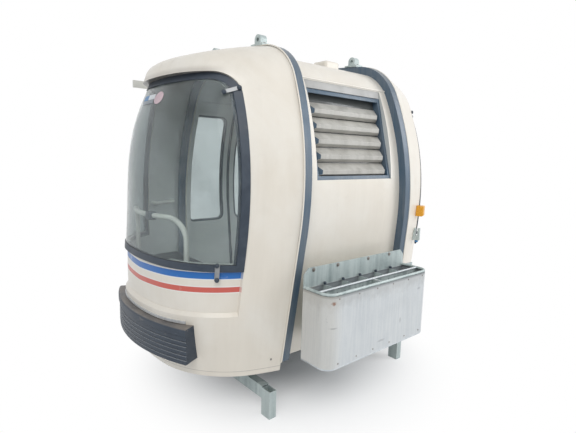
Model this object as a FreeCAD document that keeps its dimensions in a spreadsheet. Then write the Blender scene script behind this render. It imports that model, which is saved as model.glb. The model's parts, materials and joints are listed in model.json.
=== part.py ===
# Six-seat cable car cabin standing on its own feet, built as an assembly of separate pieces.
# Millimetres. X is the direction of travel, Y- the side with the ski box and the louvre,
# Y+ the side with the two sliding doors, Z up. The feet stand at z = 0. Y = 0 is the middle of the
# cabin while the pieces are drawn; at the end they move so that it is the middle of the whole.
import FreeCAD, Part
import Sketcher
import math
import os
import re
from FreeCAD import Vector, Rotation, Placement

doc = FreeCAD.newDocument("CableCarCabin")

# ---------------------------------------------------------------- driving dimensions
SIZES = [
    # name, value, what it is
    ("bodyBase", 265, "lower edge of the end shells above the ground"),
    ("bodyTop", 2150, "crown of the arches above the ground"),
    ("noseReach", 1114, "largest distance from the middle to the end of a shell"),
    ("sideBulge", 754, "largest half width, outside of the arches"),
    ("bulgeHeight", 1246, "height at which the cabin is widest"),
    ("sideRadius", 1734, "upright curve of the sides"),
    ("sideStraight", 1050, "height below which the sides run straight"),
    ("planRadius", 2005, "curve of the sides seen from above"),
    ("crownRadius", 3000, "curve of the roof across the cabin"),
    ("shoulderRadius", 340, "round between side and roof"),
    ("roofFall", 203, "drop of the roof from the arch to the nose"),
    ("browRadius", 95, "round of the roof's edge over the end windows"),
    ("shellWall", 30, "wall of the end shells"),
    ("panelWall", 30, "wall of the middle panels"),
    ("shellInset", 6, "how far the shells lie inside the outside of the arches"),
    ("archStation", 468, "middle of an arch from the middle of the cabin, at the level below"),
    ("archLevel", 1200, "height at which the arches and window edges are measured"),
    ("archLean", 48, "lean of the arches towards the middle in every metre of height"),
    ("archWidth", 56, "width of an arch along the cabin"),
    ("archDepth", 60, "depth of an arch"),
    ("archProud", 52, "how far an arch stands out of the middle panels"),
    ("archFoot", 317, "lower end of the arches"),
    ("floorUnderside", 305, "underside of the floor"),
    ("floorDepth", 40, "thickness of the floor"),
    ("windowEdge", 775, "side edge of the end windows from the middle, at the level above"),
    ("windowLean", 34, "lean of that edge in every metre of height"),
    ("windowSill", 882, "lower edge of the end windows"),
    ("windowDrop", 231, "upper edge of the end windows below the crown"),
    ("windowCorner", 110, "round at the upper corners of the end windows"),
    ("sealWidth", 38, "visible width of the window rubber"),
    ("sealDepth", 28, "depth of the window rubber"),
    ("sealProud", 5, "how far the window rubber stands out of the pane"),
    ("paneThickness", 8, "thickness of the panes"),
    ("stripeRecess", 18, "depth of the recessed band under the end window"),
    ("ledgeHeight", 650, "upper edge of the ledge under the recessed band"),
    ("ledgeSlope", 32, "height of the sloping ledge"),
    ("louvreSill", 1354, "lower edge of the louvre window"),
    ("louvreDrop", 227, "upper edge of the louvre window below the crown"),
    ("louvreHalf", 342, "half width of the louvre window"),
    ("louvreRecess", 30, "how far the louvre frame lies inside the panel"),
    ("louvreDepth", 48, "depth of the louvre frame"),
    ("louvreBorder", 24, "width of the louvre frame's border"),
    ("slatCount", 5, "number of louvre slats"),
    ("slatSheet", 3, "sheet of the slats"),
    ("surroundInset", 5, "how far the door surround lies inside the outside of the arches"),
    ("doorJamb", 34, "door surround beside the doorway"),
    ("doorStep", 30, "door surround above the lower edge of the doors"),
    ("doorHeadDepth", 45, "door surround over the doorway"),
    ("doorGap", 8, "running gap between the arches and the sliding doors"),
    ("doorThickness", 34, "thickness of a door leaf"),
    ("doorHalf", 448, "outer edge of a closed leaf from the middle"),
    ("doorMeet", 14, "half of the gap between the closed leaves, filled by the edge rubbers"),
    ("doorSill", 400, "lower edge of the door leaves"),
    ("doorDrop", 222, "upper edge of the door leaves below the crown"),
    ("doorGlassSill", 930, "lower edge of the door windows"),
    ("doorGlassDrop", 360, "upper edge of the door windows below the crown"),
    ("doorStile", 52, "frame of a leaf beside its window"),
    ("skiBoxHalf", 458, "half length of the ski box"),
    ("skiBoxShift", 52, "how far the ski box lies towards the front"),
    ("skiBoxDepth", 200, "depth of the ski box"),
    ("skiBoxCorner", 65, "round at the front corners of the ski box"),
    ("skiBoxBack", 790, "back of the ski box from the middle"),
    ("skiBoxSill", 385, "underside of the ski box"),
    ("skiBoxRim", 782, "rim of the ski box"),
    ("skiBoxSheet", 4, "sheet of the ski box"),
    ("skiPlateRise", 110, "back plate above the rim"),
    ("skiRimRod", 16, "diameter of the round bar on the rim"),
    ("skiTrough", 85, "width of the pole trough in front of the slots"),
    ("skiSlots", 6, "number of ski slots"),
    ("skiDivider", 3, "sheet of the dividers in the ski box"),
    ("skiPlate", 6, "thickness of the back plate of the ski box"),
    ("skiPlateInset", 4, "how far the back plate ends short of the box at each end"),
    ("skiPlateChamfer", 34, "sloping upper corners of the back plate"),
    ("skiRailRise", 40, "height of the two angles behind the back plate"),
    ("skiRailHalf", 528, "half length of those angles"),
    ("bumperSill", 379, "lower edge of the bumpers"),
    ("bumperTop", 577, "upper edge of the bumpers"),
    ("bumperHalf", 478, "half width of the bumpers"),
    ("bumperNose", 1160, "front of the bumpers from the middle"),
    ("bumperRadius", 1100, "curve of the bumpers seen from above"),
    ("bumperRibs", 5, "number of grooves round the bumpers"),
    ("ribDepth", 5, "depth of those grooves"),
    ("ribWidth", 6, "width of those grooves"),
    ("bumperLip", 44, "height of the rounded lip on top of the bumpers"),
    ("lipProud", 7, "how far the lip stands out of the ribbed face"),
    ("bumperDepth", 200, "depth of the bumpers before the shell is cut out of them"),
    ("footStation", 605, "foot frames from the middle"),
    ("footSpread", 634, "middle of a leg from the middle of the cabin"),
    ("footHeight", 165, "height of the legs"),
    ("tubeSide", 50, "width of the foot tubes"),
    ("tubeDepth", 75, "depth of the foot tubes"),
    ("tubeWall", 5, "wall of the foot tubes"),
    ("beamSill", 100, "underside of the foot beams"),
    ("postSpread", 430, "posts between foot beam and floor"),
    ("postHalf", 30, "half width of those posts across the cabin"),
    ("benchTop", 690, "top of the bench under the pad"),
    ("benchFront", 570, "front edge of the benches from the middle"),
    ("benchSheet", 18, "wall of the benches"),
    ("padThickness", 55, "thickness of the seat pads"),
    ("padHalf", 600, "half width of the seat pads"),
    ("padGap", 8, "seat pads in front of the guard rails"),
    ("padOverhang", 10, "seat pads behind the front edge of the benches"),
    ("railTube", 30, "diameter of the guard rails"),
    ("railHeight", 1130, "height of the guard rails"),
    ("railReach", 1040, "guard rail from the middle of the cabin"),
    ("railHalf", 230, "half width of the rails' curved top"),
    ("railShift", 70, "middle of the guard rails towards the door side"),
    ("railBow", 50, "bow of the rails' curved top"),
    ("railBend", 130, "bends between the top and the legs of the rails"),
    ("hangerSpread", 250, "hanger brackets from the middle of the arch"),
    ("hangerBore", 24, "hole for the hanger pin"),
    ("hangerRound", 30, "round of a hanger lug about its hole"),
    ("hangerBaseHalf", 55, "half length of a hanger bracket's base across the cabin"),
    ("hangerBaseWidth", 68, "width of that base along the cabin"),
    ("hangerBaseRise", 12, "height of that base above the arch"),
    ("hangerLug", 48, "length of a hanger lug along its hole"),
    ("hangerRise", 38, "hole for the hanger pin above the arch"),
    ("ventStation", 60, "nearer end of the roof vent from the middle"),
    ("ventLength", 130, "length of the roof vent"),
    ("ventOffset", 200, "roof vent from the middle of the cabin"),
    ("ventWidth", 130, "width of the roof vent"),
    ("ventDrop", 22, "top of the roof vent below the crown of the arches"),
    ("markerStation", 712, "marker and latch from the middle along the cabin"),
    ("markerHeight", 1120, "middle of the amber marker"),
    ("markerWidth", 60, "width of the amber marker"),
    ("markerDepth", 76, "height of the amber marker"),
    ("markerProud", 50, "how far the marker stands out"),
    ("latchHeight", 945, "middle of the latch"),
    ("latchProud", 44, "how far the latch stands out"),
    ("fittingSink", 24, "how far marker and latch reach into the wall before it is cut out of them"),
    ("clipSheet", 4, "sheet of the window clips"),
    ("doorHeadGap", 6, "gap between the leaves and the door head"),
    ("doorMeetStile", 40, "solid border of a door leaf beside the meeting edge"),
    ("doorGlassRound", 60, "corner radius of the door windows"),
    ("doorRubberRim", 14, "visible width of the door window rubber"),
    ("doorPaneSink", 12, "depth of the door panes behind the leaf's face"),
    ("edgeGap", 3, "half of the gap between the closed edge rubbers"),
    ("edgeInset", 4, "how much thinner the edge rubber is than the leaf, on each side"),
    ("doorTravel", 400, "how far each leaf slides"),
    ("trackSpare", 12, "length of the door rails beyond an open leaf"),
    ("railSheet", 8, "thickness of the door rails"),
    ("trackLift", 8, "gap between the door head and the top rail"),
    ("topTrackRise", 50, "height of the top rail"),
    ("topTrackReach", 30, "distance of the top rail from the arches"),
    ("topBracketRoot", 90, "how far the top brackets reach back to the arch"),
    ("bottomTrackDrop", 60, "lower edge of the bottom rail under the door sill"),
    ("bottomTrackRise", 42, "height of the bottom rail"),
    ("bottomTrackReach", 21, "distance of the bottom rail from the arches"),
    ("bottomBracketRoot", 60, "how far the bottom brackets reach back to the arch"),
    ("bracketHalf", 25, "half length of the rail brackets"),
    ("bracketRise", 4, "height of a bracket above its rail's lower edge"),
    ("bracketSheet", 12, "thickness of the rail brackets"),
    ("shoeInset", 66, "distance of the running shoes from the ends of a leaf"),
    ("shoeHalf", 35, "half length of a running shoe"),
    ("shoeRun", 0.5, "running clearance around the rails"),
    ("shoeSheet", 6, "thickness of shoes, straps and guides"),
    ("shoeWrap", 18, "depth of a shoe over the rail"),
    ("strapHalf", 20, "half width of the straps between shoe and leaf"),
    ("strapLap", 60, "overlap of a strap on the leaf"),
    ("guideDrop", 50, "reach of the lower guides under the door sill"),
    ("guideLap", 30, "overlap of the lower guides on the leaf"),
    ("seatClearance", 0.3, "gap of pieces that rest beside curved faces"),
]

sheet = doc.addObject("Spreadsheet::Sheet", "Sizes")
for row, (name, value, meaning) in enumerate(SIZES, start=1):
    sheet.set(f"A{row}", name)
    sheet.set(f"B{row}", str(value))
    sheet.setAlias(f"B{row}", name)
    sheet.set(f"C{row}", meaning)
doc.recompute()


def size(name):
    """A driving dimension, read from the sheet."""
    return float(sheet.get(name))


FAR = 3000.0  # longer than anything on the cabin, for cutting tools
LEDGE_SLACK = 4.0  # start of the sloping ledge outside the shell
FIX_TOLERANCES = (0.01, 0.001, 0.1)  # precision, smallest and largest tolerance when a shape is mended

# Sections of the body walls from the lower edge to above the roof.
# Columns: level (share of the height from base to crown), inset of the nose from noseReach,
# setback of the window behind the shell, nose radius, corner radius.
WALL_SECTIONS = [
    (0.000, 68, 0, 1276, 533),
    (0.051, 40, 0, 1276, 533),
    (0.176, -5, 0, 1276, 533),
    (0.362, 1, 10, 1276, 533),
    (0.547, 20, 14, 1276, 533),
    (0.734, 61, 17, 1276, 533),
    (0.894, 145, 56, 1200, 430),
    (1.050, 225, 60, 1100, 330),
]

pieces = []


# ---------------------------------------------------------------- curves shared by the pieces
def touching_corner(centre_a, radius_a, centre_b, radius_b, corner):
    """Round corner inside two large circles: its end on a, its middle and its end on b."""
    reach_a, reach_b = radius_a - corner, radius_b - corner
    dx, dy = centre_b[0] - centre_a[0], centre_b[1] - centre_a[1]
    apart = math.hypot(dx, dy)
    along = (reach_a ** 2 - reach_b ** 2 + apart ** 2) / (2 * apart)
    across = math.sqrt(reach_a ** 2 - along ** 2)
    foot = (centre_a[0] + along * dx / apart, centre_a[1] + along * dy / apart)
    choices = [(foot[0] + s * across * dy / apart, foot[1] - s * across * dx / apart) for s in (1, -1)]
    centre = max(choices, key=sum)
    end_a = tuple(centre_a[i] + (centre[i] - centre_a[i]) * radius_a / reach_a for i in (0, 1))
    end_b = tuple(centre_b[i] + (centre[i] - centre_b[i]) * radius_b / reach_b for i in (0, 1))
    mid = tuple(end_a[i] + end_b[i] - 2 * centre[i] for i in (0, 1))
    scale = corner / math.hypot(*mid)
    return end_a, (centre[0] + mid[0] * scale, centre[1] + mid[1] * scale), end_b


def arc(start, through, end):
    return Part.Arc(start, through, end).toShape()


def straight_side(grow=0.0):
    """Where the curve of the side meets the straight part below it: half width, height and slope."""
    radius = size("sideRadius") + grow
    angle = math.asin((size("bulgeHeight") - size("sideStraight")) / size("sideRadius"))
    half = size("sideBulge") + grow - radius * (1 - math.cos(angle))
    return half, size("bulgeHeight") - radius * math.sin(angle), math.tan(angle)


def half_width(height, grow=0.0):
    """Half width of the cabin at the arches, on the outside of an arch moved out by grow."""
    half, meeting, slope = straight_side(grow)
    if height < meeting:
        return half - (meeting - height) * slope
    radius = size("sideRadius") + grow
    return size("sideBulge") + grow - radius + math.sqrt(radius ** 2 - (height - size("bulgeHeight")) ** 2)


def arch_station(height):
    """Middle of an arch from the middle of the cabin, at a height."""
    return size("archStation") - size("archLean") * (height - size("archLevel")) / 1000


def arch_face_station(height):
    """Outer face of an arch from the middle of the cabin, at a height."""
    return arch_station(height) + size("archWidth") / 2


def window_edge(height):
    """Side edge of the end windows from the middle of the cabin, at a height."""
    return size("windowEdge") - size("windowLean") * (height - size("archLevel")) / 1000


def body_half(station, height, grow):
    """Half width of the body beyond the arches, at a distance along the cabin."""
    radius, face = size("planRadius") + grow, arch_face_station(height)
    fall = math.sqrt(radius ** 2 - face ** 2) - math.sqrt(radius ** 2 - station ** 2)
    return half_width(height, grow) - fall


def plan_section(height, reach, nose_radius, corner_radius, grow):
    """Closed plan of the body at one height: two noses, two sides and four round corners."""
    side_radius, side = size("planRadius") + grow, body_half(0, height, grow)
    nose, nose_radius, corner_radius = reach + grow, nose_radius + grow, corner_radius + grow
    near, mid, far = touching_corner((nose - nose_radius, 0), nose_radius, (0, side - side_radius),
                                     side_radius, corner_radius)

    def at(point, x_sign, y_sign):
        return Vector(point[0] * x_sign, point[1] * y_sign, height)

    edges = [arc(at(near, 1, -1), Vector(nose, 0, height), at(near, 1, 1)),
             arc(at(near, 1, 1), at(mid, 1, 1), at(far, 1, 1)),
             arc(at(far, 1, 1), Vector(0, side, height), at(far, -1, 1)),
             arc(at(far, -1, 1), at(mid, -1, 1), at(near, -1, 1)),
             arc(at(near, -1, 1), Vector(-nose, 0, height), at(near, -1, -1)),
             arc(at(near, -1, -1), at(mid, -1, -1), at(far, -1, -1)),
             arc(at(far, -1, -1), Vector(0, -side, height), at(far, 1, -1)),
             arc(at(far, 1, -1), at(mid, 1, -1), at(near, 1, -1))]
    return Part.Wire(edges)


def walls(grow, setback_share=0.0, first=0, last=None):
    """Loft of the body walls; setback_share 1 draws the nose back to the window."""
    base, height = size("bodyBase"), size("bodyTop") - size("bodyBase")
    wires = [plan_section(base + level * height, size("noseReach") - inset - setback_share * setback,
                          nose_radius, corner_radius, grow - size("shellInset"))
             for level, inset, setback, nose_radius, corner_radius in WALL_SECTIONS[first:last]]
    return Part.makeLoft(wires, True, False)


def roof_barrel(grow):
    """Solid under the roof: an arc along the cabin turned about a long axis below."""
    top = size("bodyTop") - size("shellInset") + grow
    axis_height = top - size("crownRadius") - grow
    near, far, fall = arch_face_station(top), size("noseReach"), size("roofFall")
    drop = (far ** 2 - near ** 2 + fall ** 2) / (2 * fall)
    radius, centre = math.hypot(near, drop), top - drop
    reach = far * 1.2
    end = centre + math.sqrt(radius ** 2 - reach ** 2)
    corners = [Vector(-reach, 0, end), Vector(reach, 0, end),
               Vector(reach, 0, axis_height), Vector(-reach, 0, axis_height)]
    edges = [arc(corners[0], Vector(0, 0, centre + radius), corners[1]),
             Part.makeLine(corners[1], corners[2]), Part.makeLine(corners[2], corners[3]),
             Part.makeLine(corners[3], corners[0])]
    face = Part.Face(Part.Wire(edges))
    axis = Vector(0, 0, axis_height)
    face.rotate(axis, Vector(1, 0, 0), 180)  # puts the seam of the turned face underneath
    return face.revolve(axis, Vector(1, 0, 0), 360)


def body_solid(name, grow, setback_share=0.0):
    """The whole body moved out by grow, its roof edge rounded wide at the sides and less at the noses."""
    blank = doc.addObject("Part::Feature", name + "_blank")
    blank.Shape = walls(grow, setback_share).common(roof_barrel(grow))
    roof = max(blank.Shape.Faces, key=lambda face: face.CenterOfMass.z)
    rounded = doc.addObject("Part::Fillet", name)
    rounded.Base = blank
    for side_share in (1.0, 0.9, 0.75, 0.6):
        side, nose = size("shoulderRadius") * side_share + grow, size("browRadius") + grow
        edges = []
        for number, edge in enumerate(blank.Shape.Edges, start=1):
            if not any(edge.isSame(roof_edge) for roof_edge in roof.Edges):
                continue
            start, end = (edge.valueAt(p) for p in (edge.FirstParameter, edge.LastParameter))
            if abs(start.x + end.x) < 1:
                edges.append((number, side, side))
            elif abs(start.y + end.y) < 1:
                edges.append((number, nose, nose))
            else:
                edges.append((number, side, nose) if abs(start.x) < abs(end.x) else (number, nose, side))
        rounded.Edges = edges
        doc.recompute()
        body = rounded.Shape.copy()
        if body.isNull() or not body.Solids:
            continue
        body.fix(*FIX_TOLERANCES)
        if body.isValid() and 0.9 < body.Volume / blank.Shape.Volume < 1:
            return body
    raise RuntimeError("the roof edge could not be rounded")


def block(x_range, y_range, z_range):
    """Box between two corners given as ranges."""
    return Part.makeBox(x_range[1] - x_range[0], y_range[1] - y_range[0], z_range[1] - z_range[0],
                        Vector(x_range[0], y_range[0], z_range[0]))


def hoop_solid(grow, x_range, base):
    """The cross section of the arches, moved out by grow and drawn along the cabin."""
    crown_radius = size("crownRadius") + grow
    side_radius = size("sideRadius") + grow
    top = size("bodyTop") + grow
    crown, mid, side = touching_corner((0, top - crown_radius), crown_radius,
                                       (size("sideBulge") + grow - side_radius, size("bulgeHeight")),
                                       side_radius, size("shoulderRadius") + grow)
    straight = straight_side(grow)[:2]
    middle = (straight[1] + side[1]) / 2

    def at(y, z):
        return Vector(x_range[0], y, z)

    foot, waist = half_width(base, grow), half_width(middle, grow)
    edges = [Part.makeLine(at(-foot, base), at(-straight[0], straight[1])),
             arc(at(-straight[0], straight[1]), at(-waist, middle), at(-side[0], side[1])),
             arc(at(-side[0], side[1]), at(-mid[0], mid[1]), at(-crown[0], crown[1])),
             arc(at(-crown[0], crown[1]), at(0, top), at(*crown)),
             arc(at(*crown), at(*mid), at(*side)),
             arc(at(*side), at(waist, middle), at(*straight)),
             Part.makeLine(at(*straight), at(foot, base)),
             Part.makeLine(at(foot, base), at(-foot, base))]
    return Part.Face(Part.Wire(edges)).extrude(Vector(x_range[1] - x_range[0], 0, 0))


def rounded_window(x_range, z_range, y_range, lower_round, upper_round):
    """Rounded rectangle in the upright plane along the cabin, drawn across it."""
    prism = block(x_range, y_range, z_range)
    for height, radius in ((z_range[0], lower_round), (z_range[1], upper_round)):
        if radius > 0:
            edges = [e for e in prism.Edges
                     if abs(e.BoundBox.ZMin - height) < 0.01 and abs(e.BoundBox.ZMax - height) < 0.01
                     and e.BoundBox.XLength < 0.01]
            prism = prism.makeFillet(radius, edges)
    return prism


def upright_prism(corners):
    """Polygon in the plane along the cabin, given as distance and height, drawn right across it."""
    points = [Vector(x, -FAR, z) for x, z in corners]
    return Part.Face(Part.makePolygon(points + points[:1])).extrude(Vector(0, 2 * FAR, 0))


def leaning_space(near, far):
    """Space at the front between two planes that lean with the arch, at distances from its middle."""
    return upright_prism([(-arch_station(-FAR) - far, -FAR), (-arch_station(-FAR) - near, -FAR),
                          (-arch_station(FAR) - near, FAR), (-arch_station(FAR) - far, FAR)])


def middle_space(inset):
    """Space between the arches, drawn in by inset from their inner faces."""
    low, high = (arch_station(z) - size("archWidth") / 2 - inset for z in (-FAR, FAR))
    return upright_prism([(-low, -FAR), (low, -FAR), (high, FAR), (-high, FAR)])


def end_opening(shrink, low, high, corner):
    """Space beyond the leaning edge of an end window, shrunk all round, with a round upper corner."""
    low_edge, high_edge = window_edge(low) + shrink, window_edge(high) + shrink
    prism = upright_prism([(-FAR, low), (-low_edge, low), (-high_edge, high), (-FAR, high)])
    if corner > 0:
        edges = [e for e in prism.Edges if e.CenterOfMass.z > high - 1 and e.CenterOfMass.x > -high_edge - 1
                 and e.BoundBox.YLength > FAR]
        prism = prism.makeFillet(corner, edges)
    return prism


# ---------------------------------------------------------------- making and collecting sub-parts
def add_shape(label, shape):
    """Sub-part whose shape is worked out above."""
    feature = doc.addObject("Part::Feature", label)
    feature.Shape = shape
    feature.Label = label
    pieces.append(feature)
    return feature


def add_mirror(label, source):
    """The same sub-part at the other end of the cabin."""
    mirror = doc.addObject("Part::Mirroring", label)
    mirror.Source = source
    mirror.Normal = Vector(1, 0, 0)
    mirror.Base = Vector(0, 0, 0)
    mirror.Label = label
    pieces.append(mirror)
    return mirror


def add_pair(name, shape):
    """A sub-part of the front end and its mirror image at the rear end."""
    front = add_shape("front_" + name, shape)
    return front, add_mirror("rear_" + name, front)


# ---------------------------------------------------------------- bodies made of sketches
def bound(formula):
    """The formula with every size read from the sheet."""
    return re.sub(r"\b([a-z]+[A-Z]\w*)\b", r"Sizes.\1", formula)


def worth(formula):
    """What a formula of sizes comes to."""
    return float(sheet.evalExpression(bound(formula)))


def new_body(name, origin=Vector(0, 0, 0), turn=Rotation()):
    body = doc.addObject("PartDesign::Body", name)
    body.Label = name
    body.AllowCompound = True
    body.Placement = Placement(origin, turn)
    return body


def new_sketch(body, plane, lift=None):
    """Sketch on one of the body's own origin planes, lifted by a formula of sizes."""
    sketch = body.newObject("Sketcher::SketchObject", body.Name + "_sketch")
    support = next(item for item in body.Origin.OriginFeatures if item.Role == plane)
    sketch.AttachmentSupport = [(support, "")]
    sketch.MapMode = "FlatFace"
    if lift:
        sketch.setExpression("AttachmentOffset.Base.z", bound(lift))
    return sketch


def rectangle(sketch, left, right, low, high):
    """Rectangle whose four sides follow formulas of sizes."""
    sides = [worth(formula) for formula in (left, right, low, high)]
    corners = [Vector(sides[0], sides[2], 0), Vector(sides[1], sides[2], 0),
               Vector(sides[1], sides[3], 0), Vector(sides[0], sides[3], 0)]
    first = sketch.GeometryCount
    for number in range(4):
        sketch.addGeometry(Part.LineSegment(corners[number], corners[(number + 1) % 4]))
    for number in range(4):
        ahead = first + (number + 1) % 4
        sketch.addConstraint(Sketcher.Constraint("Coincident", first + number, 2, ahead, 1))
    for kind, numbers in (("Horizontal", (0, 2)), ("Vertical", (1, 3))):
        for number in numbers:
            sketch.addConstraint(Sketcher.Constraint(kind, first + number))
    for kind, line, end, formula in (("DistanceX", first, 1, left), ("DistanceY", first, 1, low),
                                     ("DistanceX", first + 1, 2, right), ("DistanceY", first + 1, 2, high)):
        index = sketch.addConstraint(Sketcher.Constraint(kind, -1, 1, line, end, worth(formula)))
        sketch.setExpression(f"Constraints[{index}]", bound(formula))


def add_feature(body, kind, sketch, length, symmetric=False):
    """Pad or pocket of a sketch, its length a formula of sizes."""
    feature = body.newObject("PartDesign::" + kind, body.Name + "_" + kind.lower())
    feature.Profile = sketch
    feature.setExpression("Length", bound(length))
    if symmetric:
        feature.SideType = "Symmetric"
    sketch.Visibility = False
    doc.recompute()
    return feature


def round_edges(body, base, radius, chosen):
    """Fillet of the edges for which chosen is true, its radius a formula of sizes."""
    fillet = body.newObject("PartDesign::Fillet", body.Name + "_fillet")
    names = [f"Edge{number}" for number, edge in enumerate(base.Shape.Edges, start=1) if chosen(edge)]
    fillet.Base = (base, names)
    fillet.setExpression("Radius", bound(radius))
    doc.recompute()
    return fillet


def repeat(body, feature, sketch, axis, length, count):
    """Row of copies along an axis of the sketch; length is from the first copy to the last."""
    pattern = body.newObject("PartDesign::LinearPattern", body.Name + "_row")
    pattern.Originals = [feature]
    pattern.Direction = (sketch, [axis])
    pattern.setExpression("Length", bound(length))
    pattern.setExpression("Occurrences", bound(count))
    body.Tip = pattern
    doc.recompute()
    return pattern


def cut_away(label, base, tool):
    """Sub-part left of a body when another shape is cut out of it."""
    cut = doc.addObject("Part::Cut", label)
    cut.Base = base
    cut.Tool = tool
    cut.Label = label
    pieces.append(cut)
    return cut


def upright(edge):
    """True for a straight edge that stands upright."""
    return edge.BoundBox.XLength < 0.01 and edge.BoundBox.YLength < 0.01


# ---------------------------------------------------------------- arches
half_arch = size("archWidth") / 2
whole_range = (-FAR, FAR)
arch = hoop_solid(0, whole_range, size("archFoot")).cut(
    hoop_solid(-size("archDepth"), whole_range, size("archFoot")))
add_pair("arch", arch.common(leaning_space(-half_arch, half_arch)))

# ---------------------------------------------------------------- end shells
window_top = size("bodyTop") - size("windowDrop")
outer_body = body_solid("outer_body", 0)
inner_body = body_solid("inner_body", -size("shellWall"), 1)
wall_body = walls(size("seatClearance"))
front_space = leaning_space(half_arch, FAR)
end_window = end_opening(0, size("windowSill"), window_top, size("windowCorner"))


def recess_band():
    """Space of the shallow band under the end window, with a sloping ledge at its lower edge."""
    ledge, slope = size("ledgeHeight"), size("ledgeSlope")
    around = walls(size("stripeRecess"), 0, 1, 6)
    deep = around.cut(walls(-size("stripeRecess"), 0, 1, 6))
    deep = deep.common(end_opening(0, ledge, size("windowSill"), 0))
    level = (ledge - size("bodyBase")) / (size("bodyTop") - size("bodyBase"))
    below = [row for row in WALL_SECTIONS if row[0] < level][-1]
    above = [row for row in WALL_SECTIONS if row[0] > level][0]
    share = (level - below[0]) / (above[0] - below[0])
    inset, nose_radius, corner_radius = (below[i] + share * (above[i] - below[i]) for i in (1, 3, 4))
    reach = size("noseReach") - inset
    kept = Part.makeLoft([plan_section(ledge - slope, reach, nose_radius, corner_radius, LEDGE_SLACK),
                          plan_section(ledge, reach, nose_radius, corner_radius,
                                       -size("shellInset") - size("stripeRecess"))], True, True)
    return deep.fuse(around.cut(kept).common(end_opening(0, ledge - slope, ledge, 0)))


end_shell = outer_body.cut(inner_body).common(front_space)
end_shell = end_shell.cut(end_window).cut(recess_band())
add_pair("end_shell", end_shell)

# ---------------------------------------------------------------- end windows
seal = size("sealWidth")
pane_opening = end_opening(seal, size("windowSill") + seal, window_top - seal, size("windowCorner") - seal)
pane_outside = walls(0, 1, 2, 8)
pane = pane_outside.cut(walls(-size("paneThickness"), 1, 2, 8)).common(pane_opening).common(front_space)
seal_ring = walls(size("sealProud"), 1, 2, 8).cut(walls(size("sealProud") - size("sealDepth"), 1, 2, 8))
seal_ring = seal_ring.common(end_window).common(front_space).cut(pane_opening)
add_pair("window", pane)
add_pair("window_seal", seal_ring)

# ---------------------------------------------------------------- middle panels
panel_out = -size("archProud")
panel_shell = hoop_solid(panel_out, whole_range, size("archFoot")).cut(
    hoop_solid(panel_out - size("panelWall"), whole_range, size("archFoot"))).common(middle_space(0))
louvre_top = size("bodyTop") - size("louvreDrop")
roof_edge = louvre_top + 4
door_head = size("bodyTop") - size("doorDrop")


def louvre_frame_place():
    """Where the louvre stands: its sill line and its lean, on the recessed panel face."""
    out = panel_out - size("louvreRecess")
    sill_y, top_y = half_width(size("louvreSill"), out), half_width(louvre_top, out)
    lean = math.degrees(math.atan2(sill_y - top_y, louvre_top - size("louvreSill")))
    slant = math.hypot(sill_y - top_y, louvre_top - size("louvreSill"))
    return Placement(Vector(0, -sill_y, size("louvreSill")), Rotation(Vector(1, 0, 0), -lean)), slant


louvre_place, louvre_slant = louvre_frame_place()


def louvre_prism(shrink, depth_range):
    """Opening of the louvre window, shrunk all round, in its own upright frame."""
    half = size("louvreHalf") - shrink
    return block((-half, half), depth_range, (shrink, louvre_slant - shrink))


def placed(shape, place):
    moved = shape.copy()
    moved.Placement = place.multiply(moved.Placement)
    return moved


louvre_hole = placed(louvre_prism(0, (-150, 150)), louvre_place)
side_space = block((-FAR, FAR), (-FAR, 0), (0, roof_edge))
side_panel = panel_shell.common(side_space).cut(louvre_hole)
add_shape("side_panel", side_panel)

roof_space = block((-FAR, FAR), (-FAR, 0), (roof_edge, FAR)).fuse(
    block((-FAR, FAR), (0, FAR), (door_head, FAR)))
roof_panel = panel_shell.common(roof_space).cut(louvre_hole)
add_shape("roof_panel", roof_panel)

# ---------------------------------------------------------------- floor
floor_range = (size("floorUnderside"), size("floorUnderside") + size("floorDepth"))
inner_walls = walls(-size("shellWall") - size("seatClearance"), 1)
between_shells = middle_space(-size("archWidth"))
floor_ends = inner_walls.common(block((-FAR, FAR), (-FAR, FAR), floor_range)).cut(between_shells)
floor_middle = hoop_solid(panel_out - size("panelWall"), whole_range, size("floorUnderside")).common(
    block((-FAR, FAR), (-FAR, FAR), floor_range)).common(between_shells)
floor_pan = floor_ends.fuse(floor_middle).removeSplitter()
add_shape("floor_pan", floor_pan)

# ---------------------------------------------------------------- doorway and doors
surround_shell = hoop_solid(-size("surroundInset"), whole_range, size("archFoot")).cut(
    hoop_solid(panel_out - size("panelWall"), whole_range, size("archFoot"))).common(middle_space(0))
doorway = middle_space(size("doorJamb")).common(
    block(whole_range, (0, FAR), (size("doorSill") + size("doorStep"), door_head - size("doorHeadDepth"))))
door_surround = surround_shell.common(block((-FAR, FAR), (0, FAR), (0, door_head))).cut(doorway)
add_shape("door_surround", door_surround)

leaf_in, leaf_out = size("doorGap"), size("doorGap") + size("doorThickness")
leaf_x = (-size("doorHalf"), -size("doorMeet"))
leaf_z = (size("doorSill"), door_head - size("doorHeadGap"))
leaf_hoop = hoop_solid(leaf_out, leaf_x, size("archFoot")).cut(hoop_solid(leaf_in, leaf_x, size("archFoot")))
leaf_space = block(leaf_x, (0, FAR), leaf_z)
stile = size("doorStile")
glass_x = (leaf_x[0] + stile, leaf_x[1] - size("doorMeetStile"))
glass_z = (size("doorGlassSill"), size("bodyTop") - size("doorGlassDrop"))
glass_round = size("doorGlassRound")
leaf_window = rounded_window(glass_x, glass_z, (0, FAR), glass_round, glass_round)
door_leaf = leaf_hoop.common(leaf_space).cut(leaf_window)
add_pair("door_leaf", door_leaf)

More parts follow.
